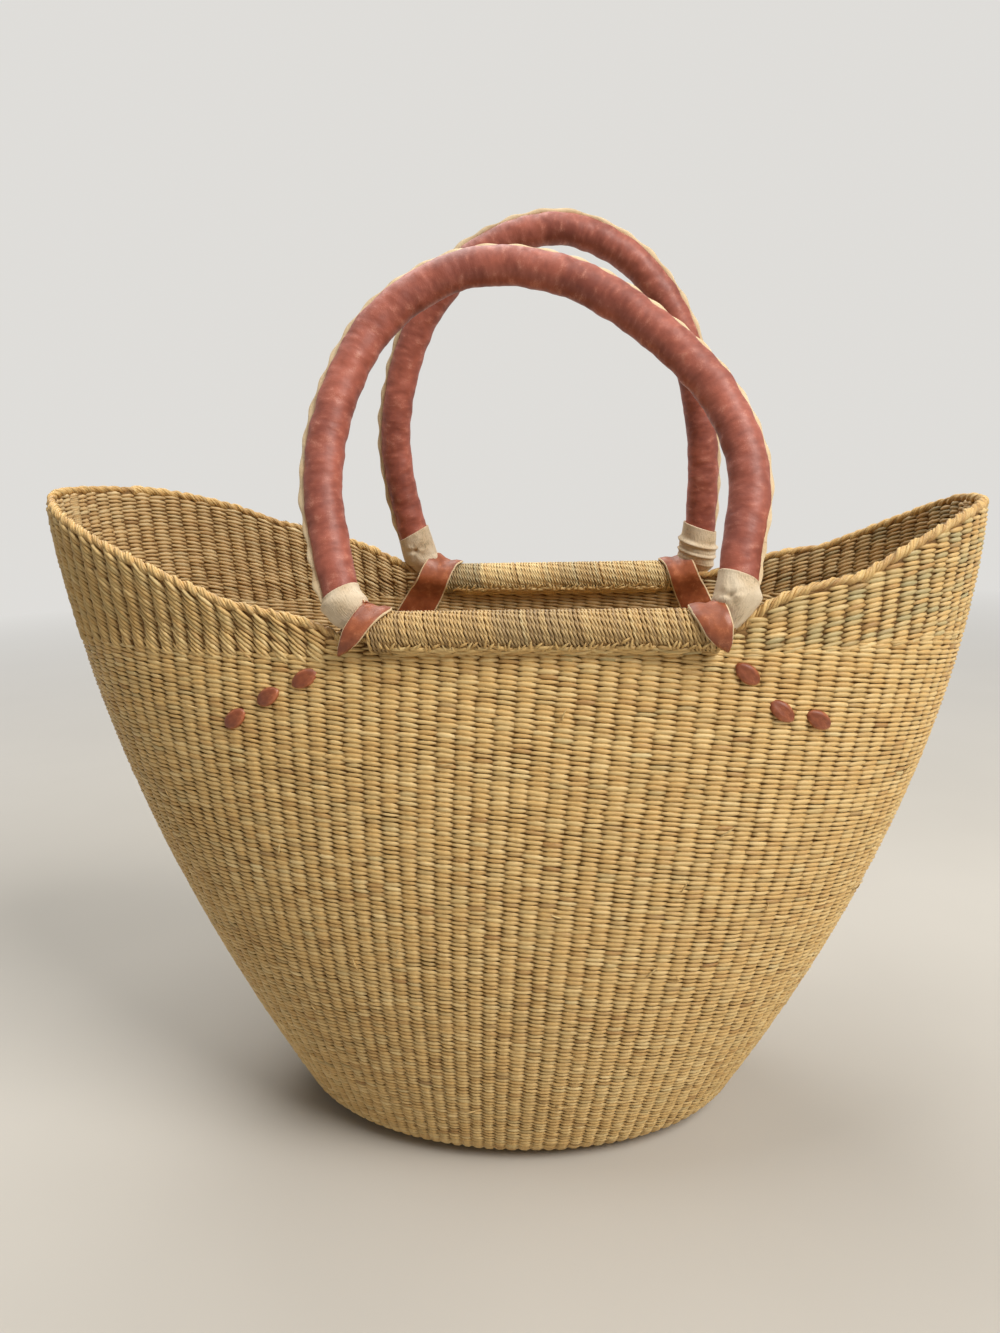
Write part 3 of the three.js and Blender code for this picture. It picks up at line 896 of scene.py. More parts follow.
@dataclass(frozen=True)
class BasketForm:
    """The surface that the wall and the wings share."""

    base_half_length: float = 110.0
    base_half_depth: float = 73.0
    belly_half_depth: float = 105.5
    mouth_half_depth: float = 97.25
    heel_radius: float = 13.0
    base_roundness: float = 2.0
    mouth_roundness: float = 2.44
    rod_height: float = 268.0
    rod_offset: float = 24.0
    rod_half_spacing: float = 94.5
    seam_height: float = 258.35
    wall_thickness: float = 5.5
    wing_thickness: float = 5.0
    wing_start: float = 93.15
    corner_start: float = 68.0
    braid_radius: float = 3.6
    left: Wing = Wing(
        End.LEFT, reach=229.0, height=328.0, flare=1.56, front_rise=0.88, back_rise=1.7,
        front_corner=Corner(step=3.0, start=78.0, lift=24.0, reach=50.0),
        back_corner=Corner(step=6.0, start=73.0, lift=60.0, reach=75.0),
        tip_lift=3.0, slant=1.9, depth=1.4,
    )
    right: Wing = Wing(
        End.RIGHT, reach=226.5, height=313.0, flare=1.66, front_rise=1.4, back_rise=0.8,
        front_corner=Corner(step=6.0, start=77.0, lift=26.0, reach=20.0),
        back_corner=Corner(step=6.5, start=76.0, lift=30.0, reach=50.0),
        tip_lift=5.0, slant=0.3, depth=1.0,
    )

    def climb(self, height: Array) -> Array:
        """Share of the way from the base to the rods, 0 to 1."""
        return np.clip(height / self.rod_height, 0, 1)

    def heel_inset(self, height: Array) -> Array:
        """How far the rounded heel draws in at a height."""
        fall = np.clip(1 - height / self.heel_radius, 0, 1)
        return self.heel_radius * (1 - np.sqrt(1 - fall**2))

    def half_length(self, height: Array, wing: Wing, heel: bool = True) -> Array:
        """Gives the distance from the section's middle to one end.

        Args:
            height: Heights above the floor.
            wing: Wing at that end.
            heel: Whether the heel draws in.

        Returns:
            The distances.
        """
        rise = 1 - (1 - np.clip(height / wing.height, 0, 1)) ** wing.flare
        reach = self.base_half_length + (wing.reach - self.base_half_length) * rise
        if heel:
            reach = reach - self.heel_inset(height)
        return reach - wing.end.value * self.rod_offset * self.climb(height)

    def half_depth(self, height: Array) -> Array:
        """Distance from the section's middle to the front or back at a height."""
        c = self.climb(height)
        low = self.base_half_depth * (1 - c) * (1 - 2 * c)
        belly = self.belly_half_depth * 4 * c * (1 - c)
        mouth = self.mouth_half_depth * c * (2 * c - 1)
        return low + belly + mouth - self.heel_inset(height)

    def roundness(self, height: Array) -> Array:
        """Exponent of the section's oval at a height."""
        return self.base_roundness + (self.mouth_roundness - self.base_roundness) * self.climb(height)

    def rod(self, side: Side) -> Array:
        """Middle of a side's rim rod."""
        return np.array([self.rod_offset, side.value * self.rod_half_spacing, self.rod_height])

    def point(self, angle: Array, height: Array) -> Array:
        """Places on the outer face.

        Args:
            angle: Angle round the basket, 0 at the right end and a quarter turn at the back.
            height: Height above the floor.

        Returns:
            Points, with X, Y and Z along the last axis.
        """
        angle, height = np.broadcast_arrays(np.asarray(angle, float), np.asarray(height, float))
        power = 2 / self.roundness(height)
        cosine, sine = np.cos(angle), np.sin(angle)
        left, right = self.half_length(height, self.left), self.half_length(height, self.right)
        length = np.where(cosine < 0, left, right)
        x = self.rod_offset * self.climb(height) + length * np.sign(cosine) * np.abs(cosine) ** power
        y = self.half_depth(height) * np.sign(sine) * np.abs(sine) ** power
        return xyz(x, y, height)

    def directions(self, angle: Array, height: Array) -> tuple[Array, ...]:
        """Gives the surface's own directions.

        Args:
            angle, height: Places on the outer face.

        Returns:
            Unit vectors round the basket, up its wall and out of it.
        """
        turn, rise = 0.004, 0.2
        around = unit(self.point(angle + turn, height) - self.point(angle - turn, height))
        up = unit(self.point(angle, height + rise) - self.point(angle, height - rise))
        outward = unit(np.cross(around, up))
        return around, np.cross(outward, around), outward

    def face_depth(self, x: Array, height: Array, inset: float = 0.0) -> Array:
        """Gives the distance of a long side's face from the middle plane.

        Args:
            x, height: Places along the side.
            inset: How far the face lies inside the outer one.

        Returns:
            The distances.
        """
        offset = np.asarray(x) - self.rod_offset * self.climb(height)
        left, right = self.half_length(height, self.left), self.half_length(height, self.right)
        length = np.where(offset < 0, left, right) - inset
        power = self.roundness(height)
        share = 1 - np.clip(np.abs(offset) / length, 0, 1) ** power
        return (self.half_depth(height) - inset) * share ** (1 / power)

    def rim_climb(self, angle: Array, wing: Wing) -> Array:
        """Says how far a wing's rim has climbed, without its lifted corner.

        Args:
            angle: Angles round the basket.
            wing: The wing.

        Returns:
            Heights above the rim's lowest place.
        """
        farthest = self.half_length(np.array(self.rod_height), wing)
        share = np.clip((self.rim_reach(angle) - self.wing_start) / (farthest - self.wing_start), 0, 1)
        rise = np.where(np.sin(angle) < 0, wing.front_rise, wing.back_rise)
        top = wing.height + wing.tip_lift - self.braid_radius
        return (top - self.rim_lowest) * (1 - (1 - share) ** rise)

    def rim_reach(self, angle: Array) -> Array:
        """Distance along the basket from the rods' middle, at an angle."""
        return np.abs(self.point(angle, np.array(self.rod_height))[..., 0] - self.rod_offset)

    @property
    def rim_lowest(self) -> float:
        """Height at which the wings' rims start."""
        return self.seam_height + 0.35 + self.braid_radius

    def rim_height(self, angle: Array, wing: Wing) -> Array:
        """Gives the height of a wing's rim.

        Args:
            angle: Angles round the basket.
            wing: The wing.

        Returns:
            Heights above the floor, the lowest where there is no wing.
        """
        out = self.rim_reach(angle)
        front = wing.front_corner.height(out, self.corner_start)
        back = wing.back_corner.height(out, self.corner_start)
        corner = np.where(np.sin(angle) < 0, front, back)
        climb = self.rim_lowest + np.maximum(self.rim_climb(angle, wing), corner)
        same_end = np.cos(angle) * wing.end.value > 0
        return np.where(same_end, climb, self.rim_lowest)

    def wing_angles(self, wing: Wing, count: int) -> Array:
        """Angles from one foot of a wing's rim to the other."""
        farthest = float(self.half_length(np.array(self.rod_height), wing))
        opening = math.acos((self.corner_start / farthest) ** (self.mouth_roundness / 2))
        middle = math.pi if wing.end is End.LEFT else 0.0
        return middle + wing.end.value * np.linspace(-opening, opening, count)


class Dye:
    """Colour runs of the grass: a row keeps a strand's tone for some columns."""

    ROWS = 600
    RUNS = 64
    COLUMNS_PER_RUN = 8
    MEAN_TONE = 0.54
    RUN_SPREAD = 0.06
    OWN_SPREAD = 0.08
    DULL_SHARE = 0.02
    DULL_DROP = 0.3

    def __init__(self, seed: int) -> None:
        """Draws the runs of every row from a fixed seed."""
        self.draw = np.random.default_rng(seed)
        self.runs = self.draw.normal(size=(self.ROWS, self.RUNS))
        self.shifts = self.draw.integers(0, self.COLUMNS_PER_RUN, self.ROWS)

    def tone(self, row: int, columns: Array) -> Array:
        """Draws the tones of one row's strands.

        Args:
            row: Number of the row.
            columns: Numbers of the strands' columns.

        Returns:
            Tones from 0, tan, to 1, pale.
        """
        run = (columns + self.shifts[row % self.ROWS]) // self.COLUMNS_PER_RUN % self.RUNS
        own = self.draw.normal(size=len(columns))
        dull = self.DULL_DROP * (self.draw.random(len(columns)) < self.DULL_SHARE)
        shared = self.MEAN_TONE + self.RUN_SPREAD * self.runs[row % self.ROWS, run]
        return np.clip(shared + self.OWN_SPREAD * own - dull, 0, 1)


@dataclass
class Weave:
    """Rows and columns of twined strands on the basket's faces."""

    form: BasketForm
    mouth_pitch: float = 8.45
    pitch_power: float = 0.56
    row_pitch: float = 2.15
    first_row: float = 0.8
    last_column: float = 0.9
    strand_overlap: float = 1.6
    wing_overlap: float = 1.35
    steepest: float = 0.9
    strand_thickness: float = 1.9
    strand_height: float = 1.06
    uneven: float = 0.1
    droop: float = 6.0
    sink: float = 0.6
    seam_rows: float = 0.9
    seam_lap: float = 1.6
    floor_height: float = 5.5
    floor_lap: float = 1.5
    mat_height: float = 1.05
    mat_thickness: float = 1.6
    rim_tuck: float = 0.4
    first_drop: float = 0.3

    # First and last angle of each quarter in degrees, and whether its odd columns start.
    QUARTERS = ((-90.0, -180.0, 1), (-90.0, 0.0, 0), (90.0, 0.0, 1), (90.0, 180.0, 0))
    WALL_MOSS = 0.12
    WING_MOSS = {End.LEFT: 0.1, End.RIGHT: 0.3}
    WING_DYE_ROW = 400
    WING_LEVELS = 60

    def wing_of(self, quarter: int) -> Wing:
        """Wing at the end of a quarter of the wall."""
        return self.form.left if abs(self.QUARTERS[quarter][1]) > 90 else self.form.right

    def pitch(self, height: Array, wing: Wing) -> Array:
        """Width of a column at a height."""
        length = self.form.half_length(np.asarray(height, float), wing, heel=False)
        mouth = self.form.half_length(np.array(self.form.rod_height), wing, heel=False)
        return self.mouth_pitch * (length / mouth) ** self.pitch_power

    def row_heights(self) -> Array:
        """Heights of half rows, evenly spaced up the front's middle."""
        fine = np.linspace(0.0, self.form.seam_height + self.seam_rows, 3000)
        run = run_along(self.form.point(np.array(-math.pi / 2), fine))
        return np.interp(np.arange(self.first_row, run[-1], self.row_pitch / 2), run, fine)

    def column_angles(self, height: float, quarter: int) -> tuple[Array, Array]:
        """Columns of one quarter at a height.

        Args:
            height: Height above the floor.
            quarter: Number of the quarter.

        Returns:
            The columns' numbers and angles.
        """
        start, stop, _ = self.QUARTERS[quarter]
        angles = np.radians(np.linspace(start, stop, 500))
        run = run_along(self.form.point(angles, np.array(height)))
        pitch = float(self.pitch(np.array(height), self.wing_of(quarter)))
        columns = np.arange(int(run[-1] / pitch + self.last_column))
        return columns, np.interp((columns + 0.5) * pitch, run, angles)

    def lay_out(
        self,
        angle: Array,
        height: Array,
        slope: Array,
        length: Array,
        width: Array,
        inset: tuple[bool, float],
        colours: tuple[Array, Array],
        draw: np.random.Generator,
    ) -> Weft:
        """Turns places on the surface into strands.

        Args:
            angle, height: Places on the surface.
            slope: Angle by which a strand climbs towards larger angles, in radians.
            length, width: Sizes of the strands along and across the rows.
            inset: Whether they lie on the inner face, and the wall's thickness there.
            colours: Tone and moss of the strands.
            draw: Source of their unevenness.

        Returns:
            The strands' places, directions, sizes and colours.
        """
        around, up, outward = self.form.directions(angle, height)
        inside, thickness = inset
        place = self.form.point(angle, height) - outward * (thickness - self.sink if inside else self.sink)
        facing = -1.0 if inside else 1.0
        lean = (slope * facing)[:, None]
        along = unit(facing * around * np.cos(lean) + up * np.sin(lean))
        size = xyz(length, width, self.strand_thickness)
        size = size * (1 + self.uneven * draw.normal(size=size.shape))
        return Weft(place, along, facing * outward, *colours, size)

    def wall_quarter(self, quarter: int, inside: bool, dye: Dye) -> Weft:
        """Lays out the strands of one quarter of the wall.

        Args:
            quarter: Number of the quarter.
            inside: Whether they lie on the inner face.
            dye: Source of their colours and unevenness.

        Returns:
            The strands.
        """
        droop = math.radians(self.droop) * (1 if inside else -1)
        parts = []
        for row, height in enumerate(self.row_heights()):
            if inside and height < self.floor_height + self.floor_lap:
                continue
            columns, angles = self.column_angles(float(height), quarter)
            chosen = (columns + self.QUARTERS[quarter][2] + row) % 2 == 0
            columns, angles = columns[chosen], angles[chosen]
            one = np.ones(len(columns))
            length = self.strand_overlap * float(self.pitch(np.array(height), self.wing_of(quarter)))
            width = self.row_pitch * self.strand_height
            moss = np.clip(self.WALL_MOSS * dye.draw.normal(size=len(columns)), 0, 0.6)
            colours = (dye.tone(row, columns), moss)
            inset = (inside, self.form.wall_thickness)
            parts.append(
                self.lay_out(
                    angles, height * one, droop * one, length * one, width * one, inset, colours, dye.draw
                )
            )
        return gather(parts)

    def wing_face(self, wing: Wing, inside: bool, dye: Dye) -> Weft:
        """Lays out the strands of one wing, in rows that follow its rim.

        Args:
            wing: The wing.
            inside: Whether they lie on the inner face.
            dye: Source of their colours and unevenness.

        Returns:
            The strands.
        """
        form, rise = self.form, self.row_pitch
        top = wing.height + wing.tip_lift
        levels = np.linspace(form.seam_height - self.seam_lap, top, self.WING_LEVELS)
        parts = []
        for quarter in range(len(self.QUARTERS)):
            if self.wing_of(quarter) is not wing:
                continue
            grids = [self.column_angles(float(level), quarter)[1] for level in levels]
            for column in range(max(len(grid) for grid in grids)):
                known = [i for i, grid in enumerate(grids) if len(grid) > column]
                heights = levels[known]
                angles = np.array([grids[i][column] for i in known])
                below = form.rim_height(angles, wing) - form.braid_radius * self.rim_tuck - heights
                if below[0] <= form.braid_radius:
                    continue
                half = 0.5 * ((column + self.QUARTERS[quarter][2]) % 2)
                drops = (np.arange(int(below[0] / rise + 1)) + half + self.first_drop) * rise
                drops = drops[(drops < below[0]) & (drops > below.min())]
                if not len(drops):
                    continue
                order = np.argsort(below)
                height = np.interp(drops, below[order], heights[order])
                angle = np.interp(height, heights, angles)
                parts.append(self._wing_column(wing, column, angle, height, inside, dye))
        return gather(parts)

    def _wing_column(
        self, wing: Wing, column: int, angle: Array, height: Array, inside: bool, dye: Dye
    ) -> Weft:
        """Lays out the strands of one column of a wing.

        Args:
            wing: The wing.
            column: The column's number, which picks its tones.
            angle, height: The strands' places.
            inside: Whether they lie on the inner face.
            dye: Source of their colours and unevenness.

        Returns:
            The strands.
        """
        form, turn, count = self.form, 0.03, len(angle)
        ahead = form.rim_climb(angle + turn, wing) - form.rim_climb(angle - turn, wing)
        gap = np.linalg.norm(form.point(angle + turn, height) - form.point(angle - turn, height), axis=1)
        slope = np.arctan2(ahead, gap) * (1.0 if inside else wing.slant)
        slope = np.clip(slope, -self.steepest, self.steepest)
        stretch = 1 / np.cos(slope)
        own_column = np.array([column])
        tone = np.array([dye.tone(self.WING_DYE_ROW + row, own_column)[0] for row in range(count)])
        moss = np.clip(self.WING_MOSS[wing.end] * dye.draw.normal(0.6, 1.0, count), 0, 0.8)
        length = self.pitch(height, wing) * self.wing_overlap * stretch
        width = np.full(count, self.row_pitch * self.strand_height) / stretch**0.7
        inset = (inside, form.wing_thickness)
        weft = self.lay_out(angle, height, slope, length, width, inset, (tone, moss), dye.draw)
        weft.size[:, 2] *= wing.depth
        return weft

    def mat_face(self, inside: bool, dye: Dye) -> Weft:
        """Lays out the strands of the base mat, in ovals.

        Args:
            inside: Whether they make the floor, and not the underside.
            dye: Source of their colours and unevenness.

        Returns:
            The strands.
        """
        form = self.form
        margin = form.wall_thickness - 1.0 if inside else form.heel_radius - 0.6
        level = self.floor_height - self.sink * 0.5 if inside else self.strand_thickness * 0.5 + 0.1
        half_length, half_depth = form.base_half_length - margin, form.base_half_depth - margin
        facing = 1.0 if inside else -1.0
        pitch = float(self.pitch(np.array(0.0), form.left))
        fine = np.linspace(0, FULL_TURN, 900)
        parts = []
        for row in range(int(half_depth / self.row_pitch) - 1):
            a, b = half_length - row * self.row_pitch, half_depth - row * self.row_pitch
            run = run_along(oval(a, b, fine, level))
            count = max(int(run[-1] / pitch / 2) * 2, 6)
            stops = (np.arange(count) + 0.5 * (row % 2)) * run[-1] / count
            angle = np.interp(stops, run, fine)
            around = xyz(-a * np.sin(angle), b * np.cos(angle), 0)
            length, width = run[-1] / count * self.strand_overlap, self.row_pitch * self.mat_height
            parts.append(
                Weft(
                    oval(a, b, angle, level),
                    unit(around),
                    np.tile([0.0, 0.0, facing], (count, 1)),
                    tone=dye.tone(row, np.arange(count)),
                    moss=np.zeros(count),
                    size=np.tile([length, width, self.mat_thickness], (count, 1)),
                )
            )
        return gather(parts)


def oval(half_length: float, half_depth: float, angle: Array, level: float) -> Array:
    """Points of a level oval round the Z axis."""
    return xyz(half_length * np.cos(angle), half_depth * np.sin(angle), level)


def gather(parts: Sequence[Weft]) -> Weft:
    """Joins batches of strands into one."""
    return Weft(*(np.concatenate(same) for same in zip(*parts)))


def dress(piece: Piece, body: Body, nodes: Sequence[str] = ()) -> None:
    """Puts a finished piece on its body.

    Args:
        piece: The piece, in place.
        body: Body that it moves with.
        nodes: Nodes of the frame that it stands for.
    """
    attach(piece, body.value)
    if nodes:
        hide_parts(*nodes)
    LOG.info("%s: %d faces on %s", piece.name, len(piece.data.polygons), body.value)


def dress_skin(
    name: str,
    rings: Array,
    finish: Material,
    wearer: tuple[Body, Slot, str],
    skin: Array | None = None,
    closed: bool = False,
) -> None:
    """Makes a piece of one finish from rings of points and puts it on its body.

    Args:
        name: Name of the piece.
        rings: Points by ring and by place on the ring.
        finish: Material.
        wearer: Body, material slot and node of the frame that it stands for; the slot is not used.
        skin: Coordinates in millimetres that the finish reads, at each point.
        closed: Whether the last ring meets the first.
    """
    points, faces = loft(rings, closed)
    piece = new_piece(name, points, faces, fields=None if skin is None else {"skin": skin})
    piece.data.materials.append(finish)
    body, slot, node = wearer
    dress(piece, body, (node,))


@dataclass
class Basket:
    """The woven body: wall, base mat and wings, each strands over a dark ground."""

    form: BasketForm
    weave: Weave
    loom: Loom
    finishes: Finishes
    outer: Piece
    inner: Piece
    ground_inset: float = 1.5
    fray_count: int = 24

    QUARTER_NAMES = ("front_left", "front_right", "back_right", "back_left")
    WALL_JITTER = 3.5
    MAT_JITTER = 2.0
    WING_JITTER = 4.0
    # Level of each ring, and its distance from the base's edge.
    MAT_GROUND = ((1.0, 40.0), (1.0, 12.0), (2.0, 8.0), (4.6, 6.0), (4.6, 40.0))
    FRAY_ANGLES = (0.4, 2.7)
    FRAY_HEIGHTS = (30.0, 255.0)
    FRAY_LENGTHS = (5.0, 10.0)
    FRAY_GIRTH = (0.9, 0.7)
    FRAY_TONES = (0.5, 0.9)

    def build(self) -> None:
        """Makes and dresses every woven piece."""
        self._wall()
        self._mat()
        for wing in (self.form.left, self.form.right):
            self._wing(wing)
        self._frays()

    def _strands(
        self,
        name: str,
        weft: Weft,
        strand: Piece,
        inside: bool,
        turn: tuple[float, int],
        node: str,
    ) -> None:
        """Lays and dresses the strands of a face.

        Args:
            name: Name of the piece.
            weft: The strands.
            strand: Object of one strand of unit size.
            inside: Whether the face is an inner one.
            turn: Random turn in degrees and its seed.
            node: Node of the frame that the piece stands for.
        """
        finish = self.finishes.lining if inside else self.finishes.wall
        piece = self.loom.lay(name, strand, weft, finish, *turn)
        dress(piece, Body.BASKET, (node,))

    def _wall(self) -> None:
        """Four outer and four inner quarters of the wall, and the ground between them."""
        for quarter, name in enumerate(self.QUARTER_NAMES):
            for inside, strand, face in ((False, self.outer, "wall"), (True, self.inner, "lining")):
                weft = self.weave.wall_quarter(quarter, inside, Dye(11 + quarter + 10 * inside))
                turn = (self.WALL_JITTER, 3 + quarter)
                self._strands(f"{name}_{face}_weave", weft, strand, inside, turn, "woven_wall")
        angles = ring_angles(160)
        heights = np.concatenate([np.linspace(0.9, 13, 8), np.linspace(20, self.form.seam_height, 30)])
        back = self.form.wall_thickness - self.ground_inset
        rings = [self._level(angles, h, self.ground_inset) for h in heights]
        rings += [self._level(angles, h, back) for h in heights[::-1]]
        self._ground("wall_ground", rings, "woven_wall", closed=True)

    def _level(self, angles: Array, height: float, inset: float) -> Array:
        """One ring of the wall at a height, set in along the wall's own direction."""
        levels = np.full(len(angles), height)
        return self.form.point(angles, levels) - self.form.directions(angles, levels)[2] * inset

    def _ground(self, name: str, rings: Sequence[Array], node: str, closed: bool = False) -> None:
        """Makes and dresses a dark ground, painted shade behind the strands."""
        wearer = (Body.BASKET, Slot.GRASS, node)
        dress_skin(name, np.array(rings), self.finishes.ground, wearer, closed=closed)

    def _mat(self) -> None:
        """The base mat's floor and underside, and the ground between them."""
        for inside, name in ((True, "base_floor_weave"), (False, "base_underside_weave")):
            weft = self.weave.mat_face(inside, Dye(31 + inside))
            self._strands(name, weft, self.inner, inside, (self.MAT_JITTER, 5), "base_mat")
        angles = ring_angles(96)
        length, depth = self.form.base_half_length, self.form.base_half_depth
        rings = [oval(length - margin, depth - margin, angles, level) for level, margin in self.MAT_GROUND]
        self._ground("base_ground", rings, "base_mat")

    def _wing(self, wing: Wing) -> None:
        """Makes a wing's outer and inner strands, its ground and its rolled rim.

        Args:
            wing: The wing.
        """
        form, name = self.form, f"{wing.end.word}_wing"
        for inside, strand, face in ((False, self.outer, "outer"), (True, self.inner, "lining")):
            weft = self.weave.wing_face(wing, inside, Dye(51 + inside + wing.end.value))
            self._strands(f"{name}_{face}_weave", weft, strand, inside, (self.WING_JITTER, 9), name)
        angles = form.wing_angles(wing, 90)
        rings = []
        for angle, top in zip(angles, form.rim_height(angles, wing)):
            levels = np.linspace(form.seam_height - 0.5, max(top, form.seam_height + 0.5), 12)
            line = np.full(12, angle)
            outward = form.directions(line, levels)[2]
            face = form.point(line, levels)
            back = face - outward * (form.wing_thickness - self.ground_inset)
            rings.append(np.vstack([face - outward * self.ground_inset, back[::-1]]))
        self._ground(f"{name}_ground", rings, name)
        RimRoll(form, self.loom, self.finishes, wing).build()

    def _frays(self) -> None:
        """Loose straw ends that stand off the outer face."""
        form, each, count = self.form, self.fray_count, 2 * self.fray_count
        draw = np.random.default_rng(211)
        low, high = self.FRAY_ANGLES
        angle = np.concatenate([draw.uniform(-high, -low, each), draw.uniform(low, high, each)])
        height = draw.uniform(*self.FRAY_HEIGHTS, count)
        around, up, outward = form.directions(angle, height)
        turn = draw.uniform(0, math.pi, count)[:, None]
        along = around * np.cos(turn) + up * np.sin(turn) + outward * draw.uniform(0.1, 0.5, (count, 1))
        length = draw.uniform(*self.FRAY_LENGTHS, count)
        weft = Weft(
            form.point(angle, height) + outward * 0.6 + unit(along) * length[:, None] * 0.3,
            unit(along),
            outward,
            tone=draw.uniform(*self.FRAY_TONES, count),
            moss=np.zeros(count),
            size=xyz(length, *self.FRAY_GIRTH),
        )
        piece = self.loom.lay("loose_straw_ends", self.inner, weft, self.finishes.wall, 0.0, 1)
        dress(piece, Body.BASKET)


@dataclass
class RimRoll:
    """Rolled edge of a wing: bundles of grass that go over and over along the rim."""

    form: BasketForm
    loom: Loom
    finishes: Finishes
    wing: Wing
    bundles: int = 2
    fibres: int = 4
    roll_pitch: float = 14.0
    roll_radius: float = 1.45
    fibre_gap: float = 1.5
    fibre_radius: float = 0.74
    crown: float = 0.5
    knuckle: float = 0.25
    tone: float = 0.36
    step: float = 0.8
    wave_shift: float = 0.3
    wave_height: float = 0.15
    wave_girth: float = 0.12

    STATIONS = 400

    def build(self) -> None:
        """Makes and dresses the rolled edge."""
        form, wing = self.form, self.wing
        angles = form.wing_angles(wing, self.STATIONS)
        heights = form.rim_height(angles, wing)
        outward = form.directions(angles, heights)[2]
        rim = form.point(angles, heights) - outward * form.wing_thickness / 2
        length = float(np.linalg.norm(np.diff(rim, axis=0), axis=1).sum())
        count = int(length / self.step)
        middle = spaced(rim, count)
        run = np.linspace(0, length, count)
        ahead = unit(np.gradient(middle, axis=0))
        share = np.linspace(0, 1, self.STATIONS)
        out = unit(xyz(*(np.interp(run / length, share, part) for part in outward.T)))
        up = unit(np.cross(out, ahead))
        out = np.cross(ahead, up)
        draw = np.random.default_rng(70 + wing.end.value)
        lines, looks = [], {"thickness": [], "tone": [], "moss": [], "crest": []}
        knuckles = draw.normal(size=count)[np.floor(2 * run / self.roll_pitch).astype(int)]
        for bundle in range(self.bundles):
            for fibre in range(self.fibres):
                place = fibre - (self.fibres - 1) / 2
                wave = np.sin(run / draw.uniform(3, 7) + draw.uniform(0, 6))
                turn = (run + place * self.fibre_gap + self.wave_shift * wave) / self.roll_pitch
                turn = wing.end.value * FULL_TURN * (turn + bundle / self.bundles)
                radius = self.roll_radius + self.crown * (1 - abs(place)) + self.wave_height * wave
                radius = radius + self.knuckle * knuckles
                way = out * np.cos(turn)[:, None] + up * np.sin(turn)[:, None]
                lines.append(middle + way * radius[:, None])
                tone = draw.normal(self.tone, 0.08) + 0.1 * wave + 0.1 * knuckles
                looks["thickness"].append(self.fibre_radius * (1 + self.wave_girth * wave))
                looks["tone"].append(np.clip(tone, 0, 1))
                looks["moss"].append(np.full(count, max(0.0, draw.normal(0.05, 0.12))))
                # Painted shade: the crest is lower where a fibre turns to the roll's underside, so the
                # underside is painted darker.
                looks["crest"].append(np.clip(0.55 + 0.45 * way[:, 2], 0, 1))
        piece = self.loom.run(f"{wing.end.word}_wing_roll", lines, looks, self.finishes.wall)
        dress(piece, Body.BASKET, (f"{wing.end.word}_wing_braid",))


